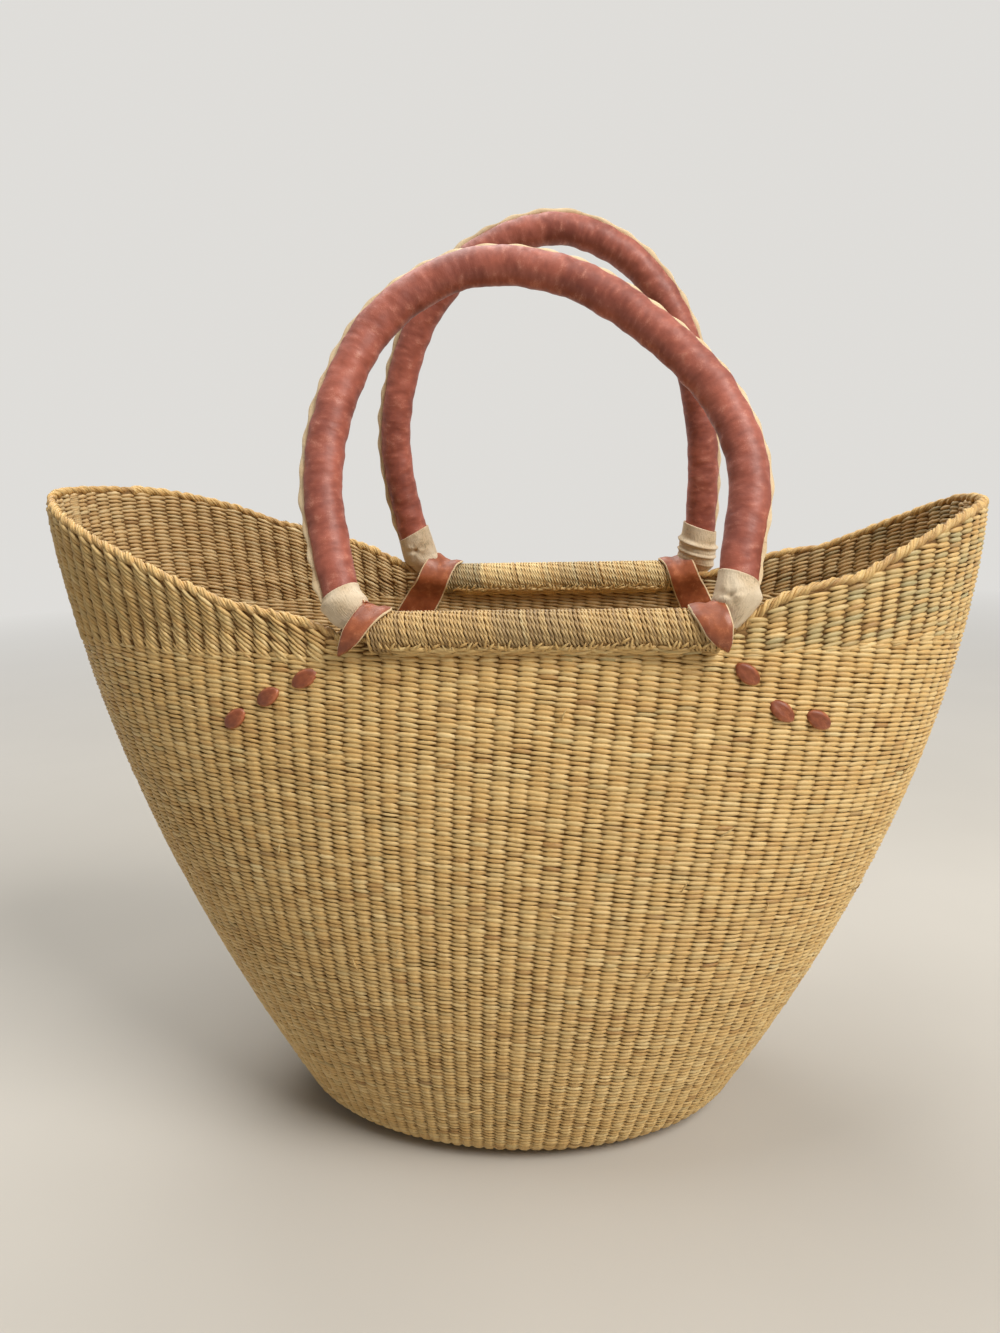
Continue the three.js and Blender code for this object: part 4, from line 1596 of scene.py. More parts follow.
@dataclass
class RimRod:
    """A stake bundle along a long side, wound with two-ply straw cord."""

    form: BasketForm
    loom: Loom
    finishes: Finishes
    side: Side
    bands: tuple[tuple[float, float, float], ...]
    half_length: float = 72.4
    radius: float = 9.3
    turns: int = 91
    steps_per_turn: int = 54
    ply_radius: float = 0.57
    ply_offset: float = 0.42
    ply_pitch: float = 7.5
    lean: float = 14.0
    bundle_profile: tuple[tuple[float, float], ...] = (
        (-79.0, 2.0), (-72.6, 2.4), (-71.8, 7.9), (71.8, 7.9), (72.6, 2.4), (79.0, 2.0),
    )
    edge_pitch: float = 8.45
    edge_reach: float = 58.0
    edge_radius: float = 9.6
    edge_angles: tuple[float, ...] = (-69.0, -61.0, -53.0, -45.0, -38.0)
    edge_overlap: float = 1.5
    edge_strand: tuple[float, float] = (2.2, 1.9)
    edge_jitter: float = 6.0
    tie_step: float = 2.6
    tie_margin: float = 6.0
    tie_angle: float = -33.0
    tie_size: tuple[float, float, float] = (5.0, 1.3, 0.9)

    ALONG = np.array([1.0, 0.0, 0.0])
    STAKE_SIDES = 36
    STAKE_RIDGES = 9
    RIDGE_HEIGHT = 0.03
    WANDER = 0.2
    TONE_SPREAD = 0.16
    MOSS_SPREAD = 0.08

    def build(self, strand: Piece) -> None:
        """Makes and dresses the stakes, the winding, and edge rows that repeat one strand of unit size."""
        self._stakes()
        self._winding()
        self._edge(strand)

    def _stakes(self) -> None:
        """Bundle of stakes inside the winding, slimmer where the bindings go round it."""
        angle = ring_angles(self.STAKE_SIDES)
        rings = []
        for x, radius in self.bundle_profile:
            girth = radius * (1 + self.RIDGE_HEIGHT * np.cos(self.STAKE_RIDGES * angle))
            rings.append(xyz(x, girth * np.cos(angle), girth * np.sin(angle)))
        wearer = (Body.BASKET, Slot.STAKES, f"{self.side.word}_rim_core")
        placed = np.array(rings) + self.form.rod(self.side)
        # The stakes take the dark ground finish: painted shade seen in the winding's gaps.
        dress_skin(f"{self.side.word}_rim_stakes", placed, self.finishes.ground, wearer)

    def _around(
        self, x: Array, angle: Array, radius: float, facing: float
    ) -> tuple[Array, Array, Array]:
        """Places round the rod.

        Args:
            x: Distances along the rod from its middle.
            angle: Angles above the level of the rod's middle, in radians.
            radius: Distance from the rod's middle.
            facing: 1 for the basket's outer side, -1 for its inner side.

        Returns:
            The places, the directions out of the rod, and those that climb round it.
        """
        way = self.side.value * facing
        out = xyz(0, way * np.cos(angle), np.sin(angle))
        climb = xyz(0, -way * np.sin(angle), np.cos(angle))
        return self.form.rod(self.side) + xyz(x, 0, 0) + out * radius, out, climb

    def _edge(self, strand: Piece) -> None:
        """Lays the last rows of the weave, which lap the rod from below, and their short straw ends.

        Args:
            strand: Object of one strand of unit size.
        """
        draw = np.random.default_rng(190 + self.side.value)
        ties_reach = self.half_length - self.tie_margin
        edge_size = (self.edge_pitch * self.edge_overlap, *self.edge_strand)
        parts = []
        for facing in (1.0, -1.0):
            for row, degrees in enumerate(self.edge_angles):
                x = np.arange(-self.edge_reach, self.edge_reach, self.edge_pitch)
                x = x + self.edge_pitch / 2 * (row % 2)
                angle = math.radians(degrees) + draw.normal(0, 0.02, len(x))
                place, out, climb = self._around(x, angle, self.edge_radius, facing)
                along = unit(self.ALONG + climb * draw.normal(0, 0.05, (len(x), 1)))
                parts.append(self._weft(place, along, out, edge_size, draw))
            x = np.arange(-ties_reach, ties_reach, self.tie_step)
            x = x + draw.normal(0, 0.6, len(x))
            angle = math.radians(self.tie_angle) + draw.normal(0, 0.1, len(x))
            place, out, climb = self._around(x, angle, self.edge_radius + 0.3, facing)
            along = unit(climb + self.ALONG * draw.normal(0.5, 0.5, (len(x), 1)))
            parts.append(self._weft(place, along, out, self.tie_size, draw))
        name, weft = f"{self.side.word}_rim_edge", gather(parts)
        piece = self.loom.lay(name, strand, weft, self.finishes.wall, self.edge_jitter, 8)
        dress(piece, Body.BASKET)

    @staticmethod
    def _weft(
        place: Array,
        along: Array,
        out: Array,
        size: tuple[float, float, float],
        draw: np.random.Generator,
    ) -> Weft:
        """Makes strands of one size at places round the rod.

        Args:
            place, along, out: Places of the strands, and their own and outward directions.
            size: Length, width and thickness.
            draw: Source of their unevenness and colours.

        Returns:
            The strands.
        """
        count = len(place)
        sizes = np.array(size) * draw.uniform(0.88, 1.12, (count, 3))
        tone = np.clip(draw.normal(0.5, 0.1, count), 0, 1)
        moss = np.clip(draw.normal(0.05, 0.12, count), 0, 1)
        return Weft(place, along, out, tone, moss, sizes)

    def _winding(self) -> None:
        """Two-ply cord in close turns, drawn a little askew."""
        count = self.turns * self.steps_per_turn
        turn = np.linspace(0, FULL_TURN * self.turns, count)
        draw = np.random.default_rng(90 + self.side.value)
        uneven = np.interp(turn, np.arange(0, turn[-1] + 3, 3), draw.normal(size=int(turn[-1] / 3) + 2))
        radius = self.radius - self.ply_radius - self.ply_offset
        share = turn / turn[-1]
        x = self.half_length * (2 * share - 1) + self.WANDER * uneven
        x = x - math.tan(math.radians(self.lean)) * radius * np.sin(turn) * (1 - abs(2 * share - 1) ** 8)
        out = xyz(0, np.cos(turn), np.sin(turn))
        middle = xyz(x, radius * np.cos(turn), radius * np.sin(turn))
        tone, moss = self._bands(share, turn, draw)
        lines = []
        for ply in range(2):
            spin = FULL_TURN * (turn * radius / self.ply_pitch + ply / 2)
            aside = out * np.cos(spin)[:, None] + self.ALONG * np.sin(spin)[:, None]
            lines.append(middle + self.ply_offset * aside + self.form.rod(self.side))
        # Painted shade: the crest is lower where the cord turns under the rod, so its underside is painted
        # darker.
        crest = np.clip(0.75 + 0.35 * np.sin(turn), 0, 1)
        look = {"thickness": np.full(count, self.ply_radius), "tone": tone, "moss": moss, "crest": crest}
        looks = {key: [values] * 2 for key, values in look.items()}
        piece = self.loom.run(f"{self.side.word}_rim_cord", lines, looks, self.finishes.straw)
        dress(piece, Body.BASKET, (f"{self.side.word}_rim_winding",))

    def _bands(
        self, share: Array, turn: Array, draw: np.random.Generator
    ) -> tuple[Array, Array]:
        """Colours the cord, by bands along the rod and by turn.

        Args:
            share: Shares of the rod's length.
            turn: Angles wound so far.
            draw: Source of the turns' own tones.

        Returns:
            Tone and grey-green at those places.
        """
        starts, tones, moss = np.array(self.bands).T
        number = np.searchsorted(starts, share, side="right") - 1
        own = draw.normal(size=self.turns + 2)[(turn / FULL_TURN).astype(int)]
        tone = np.clip(tones[number] + self.TONE_SPREAD * own, 0, 1)
        return tone, np.clip(moss[number] + self.MOSS_SPREAD * own, 0, 1)


@dataclass
class Handle:
    """A leather tube handle with its sewn welt, and the bindings that tie its feet to a rod."""

    form: BasketForm
    finishes: Finishes
    side: Side
    height: float
    lean: float
    crown: tuple[tuple[float, float], ...]
    seed: int
    sleeves: dict[End, float]
    foot_shift: dict[End, float]
    elbow: dict[End, float]
    foot_slimming: float = 0.0
    puckers: tuple[tuple[End, float], ...] = ()
    pucker_place: float = 12.0
    rolled: tuple[End, ...] = ()
    radius: float = 8.8
    bundle_radius: float = 6.2
    reach: float = 96.0
    eye_distance: float = 79.2
    leg_length: float = 30.0
    foot_depth: float = 10.0
    scallops: int = 32
    seam_twist: float = 0.3
    welt_thickness: float = 1.7
    welt_height: float = 2.5
    welt_fade: float = 9.0
    sleeve_radius: float = 9.9
    eye_shift: float = 5.0
    eye_height: float = 14.0
    mouth_slant: float = 2.4
    mouth_band: float = 9.0
    cover_tuck: float = 0.35
    lump_height: float = 0.2
    crease_height: float = 0.05
    gather_height: float = 0.45
    inner_gather: float = 0.22
    foot_fade: float = 18.0

    STATIONS = 560
    TILT = {End.LEFT: 14.0, End.RIGHT: 5.0}
    BESIDE = np.array([0.0, 1.0, 0.0])
    # Places across the welt, in half thicknesses, and shares of its height.
    WELT_PROFILE = (
        (-1.2, -0.7), (-1.0, 0.5), (-0.7, 0.96), (0.0, 1.0), (0.7, 0.96), (1.0, 0.5), (1.2, -0.7),
    )
    # Distance up from the rod's middle, and half widths along the rod and across it.
    EYE_STATIONS = (
        (-3.6, 1.8, 0.6), (-3.2, 2.8, 2.0), (-2.0, 3.6, 2.9),
        (0.0, 4.2, 3.6), (4.5, 6.2, 6.2), (9.0, 8.4, 8.8),
    )
    # Places of the rolled edges up the binding, and their heights.
    ROLLS = ((19.5, 1.4), (14.0, 1.0), (9.0, 0.6))
    ROLL_SPREAD = 1.1
    ROLL_LAP = 0.35
    ROLL_BAND = 4.0
    BUNDLE_SIDES = 20
    COVER_SIDES = 44
    WRAP_SIDES = 56
    WRAP_STATIONS = 84
    WRAP_SKIN_RADIUS = 10.0
    WRAP_PLEATS = {True: 0.2, False: 0.1}
    LAP_HEIGHT = 0.5
    LAP_WIDTH = 0.5
    ELBOW_PLACE = 4.5
    ELBOW_SPREAD = 5.5
    KNOT_DEPTH = 2.0
    KNOT_RADIUS = 1.3
    KNOT_PLEATS = 5
    PLEAT_HEIGHT = 0.35
    PLEAT_PLACE = 4.0
    PLEAT_SPREAD = 2.2

    def build(self) -> None:
        """Makes and dresses the handle's pieces."""
        knots = self._leg(End.LEFT) + [(a * self.reach, u * self.height) for a, u in self.crown]
        knots += self._leg(End.RIGHT)[::-1]
        flat = smooth_path(knots, self.STATIONS)
        self.run = run_along(flat)
        ahead = unit(np.gradient(flat, axis=0))
        self.middle = xyz(flat[:, 0], 0, flat[:, 1])
        self.outward = xyz(-ahead[:, 1], 0, ahead[:, 0])
        self._bundle()
        self._cover()
        self._welt()
        for end in End:
            self._binding(end)

    def _leg(self, end: End) -> list[tuple[float, float]]:
        """Knots of one leg, from its foot up."""
        tilt = math.radians(self.TILT[end])
        steps = (self.foot_depth, (self.foot_depth + self.leg_length) / 2, self.leg_length)
        foot = self.eye_distance + self.foot_shift[end]
        return [(end.value * (foot + d * math.sin(tilt)), d * math.cos(tilt)) for d in steps]

    def _dress(
        self,
        name: str,
        rings: Array,
        finish: Material,
        slot: Slot,
        node: str,
        skin: Array | None = None,
    ) -> None:
        """Leans rings of the handle's own plane, sets them on the rod and dresses the piece.

        Args:
            name, node: Names of the piece and of the node that it stands for, without the side.
            rings: Points by ring and by place on the ring.
            finish: Material.
            slot: Material slot of the finish, which is not used.
            skin: Coordinates in millimetres that the finish reads, at each point.
        """
        angle = math.radians(self.side.value * self.lean)
        y = rings[..., 1] * math.cos(angle) - rings[..., 2] * math.sin(angle)
        z = rings[..., 1] * math.sin(angle) + rings[..., 2] * math.cos(angle)
        placed = xyz(rings[..., 0], y, z) + self.form.rod(self.side)
        word = self.side.word
        dress_skin(f"{word}_{name}", placed, finish, (self.side.handle, slot, f"{word}_{node}"), skin)

    def _scallop(self) -> Array:
        """Wave along the handle from 0, between stitches, to 1."""
        return 0.5 - 0.5 * np.cos(FULL_TURN * self.scallops * self.run / self.run[-1])

    def _seam(self) -> Array:
        """Angle of the seam round the tube, which turns from the front on the left to the back."""
        return -self.seam_twist * (1 - 2 * self.run / self.run[-1])

    def _bundle(self) -> None:
        """Grass bundle inside the tube."""
        angle = ring_angles(self.BUNDLE_SIDES)[None, :, None]
        out = self.outward[::8, None, :] * np.cos(angle) + self.BESIDE * np.sin(angle)
        rings = self.middle[::8, None, :] + out * self.bundle_radius
        self._dress("handle_filling", rings, self.finishes.ground, Slot.STAKES, "handle_core")

    def _cover(self) -> None:
        """Leather tube, uneven over its filling and gathered along its seam."""
        angle, run = ring_angles(self.COVER_SIDES)[None, :], self.run[:, None]
        lumps = Ripple(self.seed, (46, 31, 23, 17, 13), 2).at(run, angle)
        creases = Ripple(self.seed + 1, (11, 9, 7, 5.5, 4.6, 3.9), 3).at(run, angle)
        away = abs((angle - self._seam()[:, None] + math.pi) % FULL_TURN - math.pi)
        seam = np.exp(-((away - 0.42) ** 2) / 0.05)
        inner = np.exp(-((away - math.pi) ** 2) / 0.8)
        wave = self._scallop()[:, None]
        from_foot = np.minimum(run, self.run[-1] - run)
        slim = 1 - self.foot_slimming * bell(from_foot, self.foot_fade)
        radius = (self.radius - self.cover_tuck) * slim + self.lump_height * lumps
        radius = radius + self.crease_height * creases + self.gather_height * seam * wave
        radius = radius + self.inner_gather * inner * (wave - 0.5)
        out = self.outward[:, None, :] * np.cos(angle)[..., None] + self.BESIDE * np.sin(angle)[..., None]
        rings = self.middle[:, None, :] + out * radius[..., None]
        skin = tube_skin(run, angle, self.radius)
        self._dress("handle_leather", rings, self.finishes.red, Slot.RED, "handle_cover", skin)

    def _welt(self) -> None:
        """Raw seam edges that stand up along the handle's outer side."""
        low, high = self._welt_stretch()
        run = self.run[low:high]
        wave = self._scallop()[low:high]
        sway = Ripple(self.seed + 2, (40, 24, 13), 0).at(run, np.array(0.0))
        ends = np.clip(np.minimum(run - run[0], run[-1] - run) / self.welt_fade, 0, 1)
        top = (self.welt_height - 0.9 * wave + 0.25 * sway) * (0.2 + 0.8 * ends**0.7)
        half = self.welt_thickness / 2
        seam = self._seam()[low:high, None]
        out = self.outward[low:high] * np.cos(seam) + self.BESIDE * np.sin(seam)
        aside = self.BESIDE * np.cos(seam) - self.outward[low:high] * np.sin(seam)
        rings = []
        for across, up in self.WELT_PROFILE:
            rise = self.radius - 0.5 + up * top
            sideways = across * half + 0.45 * sway * max(up, 0.0)
            rings.append(self.middle[low:high] + out * rise[:, None] + aside * sideways[:, None])
        across = np.tile(np.array([place[0] for place in self.WELT_PROFILE]), len(run))
        skin = xyz(np.repeat(run, len(rings)), across * half, 0)
        edge = np.stack(rings, axis=1)
        self._dress("handle_seam", edge, self.finishes.edge, Slot.RAW, "handle_welt", skin)

    def _welt_stretch(self) -> tuple[int, int]:
        """First and last stations of the welt, between the bindings."""
        bare = {end: self.sleeves[end] - self.foot_depth - self.welt_fade / 2 for end in End}
        stretch = (bare[End.LEFT], self.run[-1] - bare[End.RIGHT])
        return int(np.searchsorted(self.run, stretch[0])), int(np.searchsorted(self.run, stretch[1]))

    def _binding(self, end: End) -> None:
        """Wraps raw leather round a handle's foot and on round the rod.

        Args:
            end: End of the basket that the foot is at.
        """
        tilt = math.radians(self.TILT[end])
        axis = np.array([end.value * math.sin(tilt), 0.0, math.cos(tilt)])
        across = np.array([math.cos(tilt), 0.0, -end.value * math.sin(tilt)])
        top, mouth = self.sleeves[end], (self.radius - 0.1) * (1 - self.foot_slimming) + 0.9
        sleeve = (
            (12.5, self.sleeve_radius, self.sleeve_radius),
            (top - 1.5, mouth + 0.1, mouth + 0.1),
            (top, mouth, mouth),
            (top - 0.4, mouth - 0.8, mouth - 0.8),
        )
        course = smooth_path(self.EYE_STATIONS + sleeve, self.WRAP_STATIONS)
        angle, run = ring_angles(self.WRAP_SIDES)[None, :], course[:, :1]
        near_mouth = np.clip((run - top + self.mouth_band) / self.mouth_band, 0, 1)
        slant = -self.mouth_slant * end.value * np.cos(angle) * near_mouth
        draw_in = self.eye_shift + self.foot_shift[end]
        shift = -end.value * draw_in * (1 - np.clip(run / self.eye_height, 0, 1))
        pleats = Ripple(self.seed + 20 + end.value, (60, 44, 30, 26, 19, 15), 5).at(run, angle)
        fold = (angle - run * 0.05 * end.value) % FULL_TURN
        lap = self.LAP_HEIGHT * np.clip(1 - fold / self.LAP_WIDTH, 0, 1)
        creased = any(end is place for place, _ in self.puckers) or end in self.rolled
        swell = self.WRAP_PLEATS[creased] * pleats + lap + self._pucker(end, run, angle)
        swell = swell + (end in self.rolled) * self._roll(end, run, angle)
        full = self.elbow[end] * bell(run - self.ELBOW_PLACE, self.ELBOW_SPREAD)
        half_x = course[:, 1:2] + swell + full
        half_y = course[:, 2:3] + swell
        rings = (
            np.array([end.value * (self.eye_distance + self.foot_shift[end]), 0.0, 0.0])
            + axis * (run + slant)[..., None]
            + across * (half_x * np.cos(angle) + (shift + end.value * full))[..., None]
            + self.BESIDE * (half_y * np.sin(angle))[..., None]
        )
        skin = tube_skin(run, angle, self.WRAP_SKIN_RADIUS)
        self._dress(f"{end.word}_wrap", rings, self.finishes.raw, Slot.RAW, f"{end.word}_binding", skin)

    def _roll(self, end: End, run: Array, angle: Array) -> Array:
        """Shapes the rolled edges of a binding that goes round twice, askew.

        Args:
            end: The binding's end.
            run, angle: Places up the binding and round it.

        Returns:
            How far they stand out.
        """
        ridge = 0.0
        for place, height in self.ROLLS:
            away = run - place + 1.8 * end.value * np.cos(angle) - 0.8 * np.sin(angle)
            lap = self.ROLL_LAP * height * (away < 0) * (away > -self.ROLL_BAND)
            ridge = ridge + height * bell(away, self.ROLL_SPREAD) + lap
        return ridge

    def _pucker(self, end: End, run: Array, angle: Array) -> Array:
        """Shapes a drawn-in knot hole on the front of a binding, with pleats that run to it.

        Args:
            end: The binding's end.
            run, angle: Places up the binding and round it.

        Returns:
            How far they stand out.
        """
        total = 0.0 * run * angle
        for place, aside in self.puckers:
            up = run - self.pucker_place
            beside = 9.7 * ((angle - 1.5 * math.pi + math.pi) % FULL_TURN - math.pi) - aside
            away = np.hypot(up, beside)
            hole = -self.KNOT_DEPTH * bell(away, self.KNOT_RADIUS)
            ring = bell(away - self.PLEAT_PLACE, self.PLEAT_SPREAD)
            pleats = self.PLEAT_HEIGHT * np.cos(self.KNOT_PLEATS * np.arctan2(up, beside) + 1) * ring
            total = total + (hole + pleats) * (end is place)
        return total


@dataclass
class Strap:
    """Brown strap that saddles a rod: a leaf outside, a slanting tail down the inside."""

    form: BasketForm
    finishes: Finishes
    side: Side
    end: End
    distance: float
    flare: float
    width: float
    thickness: float = 2.0
    saddle_radius: float = 9.9
    filling: float = 6.5
    inner_drop: float = 38.0
    flare_place: float = 0.4
    flare_spread: float = 0.17

    LOWEST_ANGLE = {End.LEFT: -52.0, End.RIGHT: -46.0}
    TOP_ANGLE = 85.0
    LEAF_WIDTH = {End.LEFT: 0.88, End.RIGHT: 1.2}
    OUTER_SHIFT = {End.LEFT: 17.0, End.RIGHT: 9.0}
    INNER_SHIFT = {End.LEFT: 34.0, End.RIGHT: 24.0}
    SADDLE_SHARE = 0.3
    # Places across the strap, in half widths, and heights in thicknesses.
    PROFILE = (
        (-1.0, 0.2), (-0.92, 0.55), (-0.45, 1.05), (0.0, 0.8), (0.45, 1.05), (0.92, 0.55), (1.0, 0.2),
        (0.96, -0.25), (0.5, -0.4), (-0.5, -0.4), (-0.96, -0.25),
    )
    RAW_FACES = (0, 5, 10)
    STATIONS = 72
    RIB_SHARE = 0.7
    RIPPLE_HEIGHT = 0.12

    def build(self) -> None:
        """Makes and dresses the strap."""
        form, course = self.form, self._course()
        share = np.linspace(0, 1, len(course))
        leaf = self.LEAF_WIDTH[self.end]
        width = np.interp(
            share,
            (0.0, 0.04, 0.12, 0.24, 0.38, 0.6, 0.88, 0.96, 1.0),
            (0.1, 0.4 * leaf, 0.8 * leaf, leaf, 1.05, 1.3, 1.4, 1.25, 0.9),
        )
        ahead = unit(np.gradient(course, axis=0))
        beside = np.tile([1.0, 0.0, 0.0], (len(course), 1))
        beside = unit(beside - ahead * (ahead * beside).sum(axis=1, keepdims=True))
        out = np.cross(ahead, beside)
        out = out * np.sign((out * course * np.array([0.0, 1.0, 1.0])).sum(axis=1, keepdims=True)[20])
        ripple = Ripple(self.side.value + 3 * self.end.value + 9, (30, 19, 12), 0)
        rings = []
        near = bell(share - self.flare_place, self.flare_spread)
        for across, up in self.PROFILE:
            wave = self.RIPPLE_HEIGHT * ripple.at(share * 70 + 4 * across, np.array(0.0))
            raised = self.flare if up > 0 else -self.filling
            climb = raised * max(across, 0.0) ** 1.5 * near
            ring = course + beside * (across * width * self.width / 2)[:, None]
            rings.append(ring + out * (up * self.thickness * self.RIB_SHARE + wave + climb)[:, None])
        local = np.stack(rings, axis=1)
        start = np.array([self.distance, form.rod_half_spacing, form.rod_height])
        ways = np.array([self.end.value, self.side.value, 1])
        points, faces = loft(np.array([form.rod_offset, 0.0, 0.0]) + ways * (start + local))
        corner = f"{self.side.word}_{self.end.word}_strap"
        piece = new_piece(f"{corner}_leather", points, faces, fields={"skin": local.reshape(-1, 3)})
        for finish in (self.finishes.brown, self.finishes.edge):
            piece.data.materials.append(finish)
        for face in piece.data.polygons:
            face.material_index = int(face.index % len(self.PROFILE) in self.RAW_FACES)
        dress(piece, Body.BASKET, (corner,))

    def _course(self) -> Array:
        """Leads the strap up the outside of the rod, over it and down the inside of the wall.

        Returns:
            Points of the line, from the rod's middle at the strap's distance.
        """
        form, radius, top = self.form, self.saddle_radius, self.TOP_ANGLE
        lowest, inner_shift = self.LOWEST_ANGLE[self.end], self.INNER_SHIFT[self.end]
        knots = []
        for turn in np.linspace(lowest, 180.0, 11):
            shift = self.OUTER_SHIFT[self.end] * np.clip((top - turn) / (top - lowest), 0, 1)
            shift = shift + self.SADDLE_SHARE * inner_shift * np.clip((turn - top) / (180 - top), 0, 1)
            angle = math.radians(turn)
            knots.append((shift, radius * math.cos(angle), radius * math.sin(angle)))
        for drop in np.linspace(9.0, self.inner_drop, 5):
            shift = inner_shift * (self.SADDLE_SHARE + (1 - self.SADDLE_SHARE) * drop / self.inner_drop)
            x = form.rod_offset + self.end.value * (self.distance + shift)
            face = form.face_depth(np.array(x), np.array(form.rod_height - drop), form.wall_thickness)
            knots.append((shift, float(face) - form.rod_half_spacing - self.thickness, -drop))
        return smooth_path(knots, self.STATIONS)


@dataclass
class Lacing:
    """Three leather stitches below a strap, on the wall's outer face."""

    form: BasketForm
    loom: Loom
    finishes: Finishes
    side: Side
    end: End
    slant: float = 36.0
    length: float = 13.0
    width: float = 7.6
    thickness: float = 4.4
    stand_off: float = 0.3
    jitter: float = 7.0

    # Distances from the rods' middle and below them.
    PLACES = {
        End.LEFT: ((102.0, 19.5), (119.5, 28.0), (136.0, 38.5)),
        End.RIGHT: ((84.5, 18.5), (99.0, 34.5), (115.0, 39.5)),
    }

    def build(self, stitch: Piece) -> None:
        """Makes and dresses the stitches.

        Args:
            stitch: Object of one stitch of unit size.
        """
        form, corner = self.form, f"{self.side.word}_{self.end.word}"
        places = np.array(self.PLACES[self.end])
        x = form.rod_offset + self.end.value * places[:, 0]
        z = form.rod_height - places[:, 1]
        length = form.half_length(z, form.left if self.end is End.LEFT else form.right)
        reach = np.clip(np.abs(x - form.rod_offset * form.climb(z)) / length, 0, 1)
        angle = np.arccos(reach ** (form.roundness(z) / 2))
        angle = angle if self.end is End.RIGHT else math.pi - angle
        around, up, outward = form.directions(angle * self.side.value, z)
        rightward = np.where(around[:, :1] > 0, 1.0, -1.0) * around
        tip = -self.end.value * math.radians(self.slant)
        face = xyz(x, self.side.value * form.face_depth(x, z), z)
        weft = Weft(
            face + outward * self.stand_off,
            unit(rightward * math.cos(tip) + up * math.sin(tip)),
            outward,
            tone=np.full(3, 0.5),
            moss=np.zeros(3),
            size=np.tile([self.length, self.width, self.thickness], (3, 1)),
        )
        piece = self.loom.lay(f"{corner}_lacing", stitch, weft, self.finishes.brown, self.jitter, 4)
        dress(piece, Body.BASKET, [f"{corner}_stitch_{number}" for number in (1, 2, 3)])

    @staticmethod
    def stitch() -> Piece:
        """Makes one almond stitch, creased along its length.

        Returns:
            The stitch, of unit size.
        """
        angle = ring_angles(16)
        rings = []
        for along in np.linspace(-0.98, 0.98, 13):
            girth = max((1 - along**2) ** 0.62, 0.12)
            crease = 0.3 * bell(angle - math.pi / 2, 0.3) * (1 - along**2)
            rise = (girth * np.sin(angle) / 2) * (1 - crease * 2) - 0.12 * along**2
            rings.append(xyz(along / 2, girth * np.cos(angle) / 2, rise))
        points, faces = loft(np.array(rings))
        return new_piece("one_stitch", points / MM, faces, fields={"skin": points * 12})


@dataclass(frozen=True)
class Viewpoint:
    """Camera at the photograph's place, in millimetres, degrees and pixels of the full frame."""

    place: tuple[float, float, float] = (49.8, -504.0, 339.3)
    heading: float = -6.06
    pitch: float = 11.82
    roll: float = -1.5
    focal_pixels: float = 1001.0
    frame_width: float = 1000.0
    sensor: float = 36.0

    def build(self) -> None:
        """Makes the camera and gives it to the scene."""
        heading, pitch, roll = (math.radians(a) for a in (self.heading, self.pitch, self.roll))
        right = Vector((math.cos(heading), -math.sin(heading), 0))
        ahead = Vector(
            (math.sin(heading) * math.cos(pitch), math.cos(heading) * math.cos(pitch), -math.sin(pitch))
        )
        up = right.cross(ahead)
        rolled_right = right * math.cos(roll) + up * math.sin(roll)
        rolled_up = up * math.cos(roll) - right * math.sin(roll)
        data = bpy.data.cameras.new("photo_view")
        data.sensor_fit = "HORIZONTAL"
        data.sensor_width = self.sensor
        data.lens = self.sensor * self.focal_pixels / self.frame_width
        data.clip_start = 0.01
        camera = bpy.data.objects.new("photo_view", data)
        turn = Matrix((rolled_right, rolled_up, -ahead)).transposed()
        camera.matrix_world = Matrix.Translation(Vector(self.place) * MM) @ turn.to_4x4()
        bpy.context.collection.objects.link(camera)
        bpy.context.scene.camera = camera


@dataclass(frozen=True)
class Lamp:
    """A soft rectangular lamp, with its place and aim in metres."""

    name: str
    place: tuple[float, float, float]
    size: float
    power: float
    shade: tuple[float, float, float]
    aim: tuple[float, float, float] = (0.02, 0.0, 0.2)

    def build(self) -> None:
        """Makes the lamp."""
        data = bpy.data.lights.new(self.name, "AREA")
        data.size = self.size
        data.energy = self.power
        data.color = self.shade
        lamp = bpy.data.objects.new(self.name, data)
        lamp.location = self.place
        direction = Vector(self.aim) - Vector(self.place)
        lamp.rotation_euler = direction.to_track_quat("-Z", "Y").to_euler()
        bpy.context.collection.objects.link(lamp)


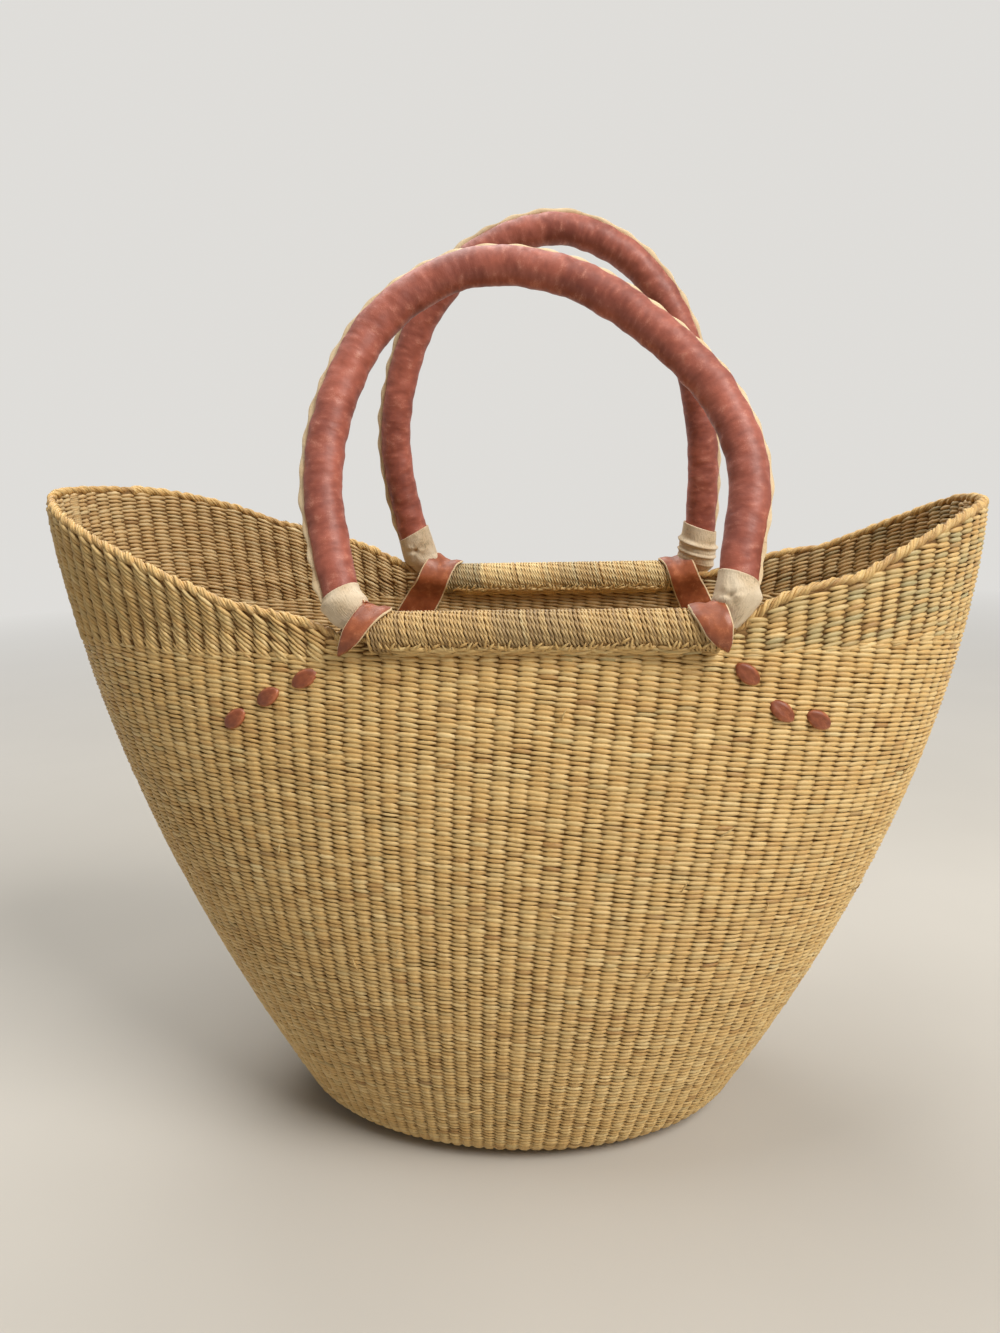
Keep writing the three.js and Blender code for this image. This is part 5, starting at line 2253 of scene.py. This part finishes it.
@dataclass(frozen=True)
class Studio:
    """Pale floor, soft lamps and an even pale surround."""

    floor_size: float = 8.0
    fill: float = 0.15
    surround: float = 0.8
    surround_tint: Colour = tint(246, 244, 240)
    floor_tints: tuple[Colour, Colour] = (tint(196, 192, 184), tint(203, 199, 191))
    floor_drop: float = 0.2
    fade_from: float = 0.5
    fade_to: float = 2.2
    lamps: tuple[Lamp, ...] = (
        Lamp("key_lamp", (1.3, -0.95, 1.75), size=1.1, power=46.0, shade=(1.0, 0.97, 0.93)),
        Lamp("top_lamp", (-0.35, -0.15, 2.1), size=1.0, power=13.0, shade=(1.0, 0.98, 0.95)),
        Lamp("back_lamp", (-0.45, 1.0, 1.9), size=1.2, power=18.0, shade=(1.0, 0.98, 0.95)),
    )

    def build(self) -> None:
        """Makes the floor, the lamps and the world."""
        half = self.floor_size / 2 / MM
        square = ((-half, -half), (half, -half), (half, half), (-half, half))
        corners = np.array([(x, y, -self.floor_drop) for x, y in square])
        floor = new_piece("pale_floor", corners, [(0, 1, 2, 3)])
        paint = Paint("pale_floor")
        cloud = paint.noise(paint.place(), (3.0, 3.0, 3.0), 3.0)
        pale = paint.mix(cloud.between(0.3, 0.7), *self.floor_tints)
        floor.data.materials.append(paint.close(Base_Color=pale, Roughness=0.85))
        self._fade(paint)
        for lamp in self.lamps:
            lamp.build()
        self._world()

    def _fade(self, paint: Paint) -> None:
        """Lets the far floor run into the surround, for the camera alone.

        Args:
            paint: The floor's material, closed.
        """
        far = paint.made("ShaderNodeVectorMath", {"operation": "LENGTH"}, {0: paint.place()}, "Value")
        share = Value(paint, far).between(self.fade_from, self.fade_to) * paint.seen()
        surround = {"Color": self.surround_tint, "Strength": self.surround}
        glow = paint.made("ShaderNodeEmission", None, surround)
        both = {0: share, 1: paint.surface.outputs["BSDF"], 2: glow}
        joined = paint.made("ShaderNodeMixShader", None, both)
        output = next(node for node in paint.tree.nodes if node.type == "OUTPUT_MATERIAL")
        paint.feed(output.inputs["Surface"], joined)

    def _world(self) -> None:
        """Even light for the object, and a pale surround for the camera."""
        world = bpy.data.worlds.new("studio")
        world.use_nodes = True
        bpy.context.scene.world = world
        graph = Graph(world.node_tree)
        world.node_tree.nodes.clear()
        strength = graph.seen() * (self.surround - self.fill) + self.fill
        light = {"Color": self.surround_tint, "Strength": strength}
        sky = graph.made("ShaderNodeBackground", None, light)
        graph.node("ShaderNodeOutputWorld", None, {"Surface": sky})


# Knots of the handles above their legs, as shares of their reach and height.
FRONT_CROWN = (
    (-1.0, 0.4), (-0.95, 0.63), (-0.75, 0.86), (-0.36, 0.995),
    (0.1, 0.96), (0.5, 0.8), (0.79, 0.6), (0.9, 0.4),
)
BACK_CROWN = (
    (-0.99, 0.4), (-0.93, 0.6), (-0.76, 0.79), (-0.45, 0.94),
    (0.02, 1.0), (0.42, 0.915), (0.7, 0.73), (0.85, 0.42),
)
# Side, end, distance from the rods' middle, flare and width of each strap.
STRAPS = (
    (Side.FRONT, End.LEFT, 68.0, 3.6, 12.0), (Side.FRONT, End.RIGHT, 66.4, 2.8, 12.4),
    (Side.BACK, End.LEFT, 65.4, 5.4, 15.0), (Side.BACK, End.RIGHT, 65.4, 4.0, 14.0),
)
# Bands of the windings: share of the rod's length where each starts, its tone and its moss.
FRONT_BANDS = ((0.0, 0.36, 0.0), (0.374, 0.24, 0.15), (0.6, 0.32, 0.05), (0.75, 0.44, 0.05))
# The back rod's tones are partly its own paler bands and partly painted light, set paler to brighten the
# rod where it lies in shade.
BACK_BANDS_WITH_PAINTED_LIGHT = (
    (0.0, 0.55, 0.5), (0.18, 0.9, 0.0), (0.433, 0.75, 0.1), (0.5, 0.55, 0.25), (0.67, 0.7, 0.15),
)


def main() -> None:
    """Builds the bag's looks, the studio and the camera."""
    logging.basicConfig(level=logging.INFO, format="%(name)s %(message)s")
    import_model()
    finishes = Finishes()
    loom = Loom()
    form = BasketForm()
    outer = Strand("outer_strand", (-0.68, -0.24, 0.24, 0.68)).build()
    inner = Strand("inner_strand", (-0.6, 0.0, 0.6)).build()
    Basket(form, Weave(form), loom, finishes, outer, inner).build()
    for side, bands in ((Side.FRONT, FRONT_BANDS), (Side.BACK, BACK_BANDS_WITH_PAINTED_LIGHT)):
        RimRod(form, loom, finishes, side, bands).build(inner)
    for strand in (outer, inner):
        bpy.data.objects.remove(strand)
    stitch = Lacing.stitch()
    for side, end, distance, flare, width in STRAPS:
        Strap(form, finishes, side, end, distance, flare, width).build()
        Lacing(form, loom, finishes, side, end).build(stitch)
    bpy.data.objects.remove(stitch)
    Handle(
        form, finishes, Side.FRONT, height=167.0, lean=22.0, crown=FRONT_CROWN, seed=101,
        puckers=((End.RIGHT, -3.5),),
        sleeves={End.LEFT: 17.6, End.RIGHT: 22.0},
        foot_shift={End.LEFT: 2.6, End.RIGHT: 0.0},
        elbow={End.LEFT: 2.0, End.RIGHT: 0.6},
        foot_slimming=0.12,
    ).build()
    Handle(
        form, finishes, Side.BACK, height=193.0, lean=4.0, crown=BACK_CROWN, seed=131,
        puckers=((End.LEFT, 0.0),),
        rolled=(End.RIGHT,),
        sleeves={End.LEFT: 29.0, End.RIGHT: 29.0},
        foot_shift={End.LEFT: 1.4, End.RIGHT: 0.0},
        elbow={End.LEFT: 1.0, End.RIGHT: 3.0},
        pucker_place=19.0,
    ).build()
    Studio().build()
    Viewpoint().build()
    bpy.context.scene.view_settings.view_transform = "Standard"
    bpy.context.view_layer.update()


if __name__ == "__main__":
    main()
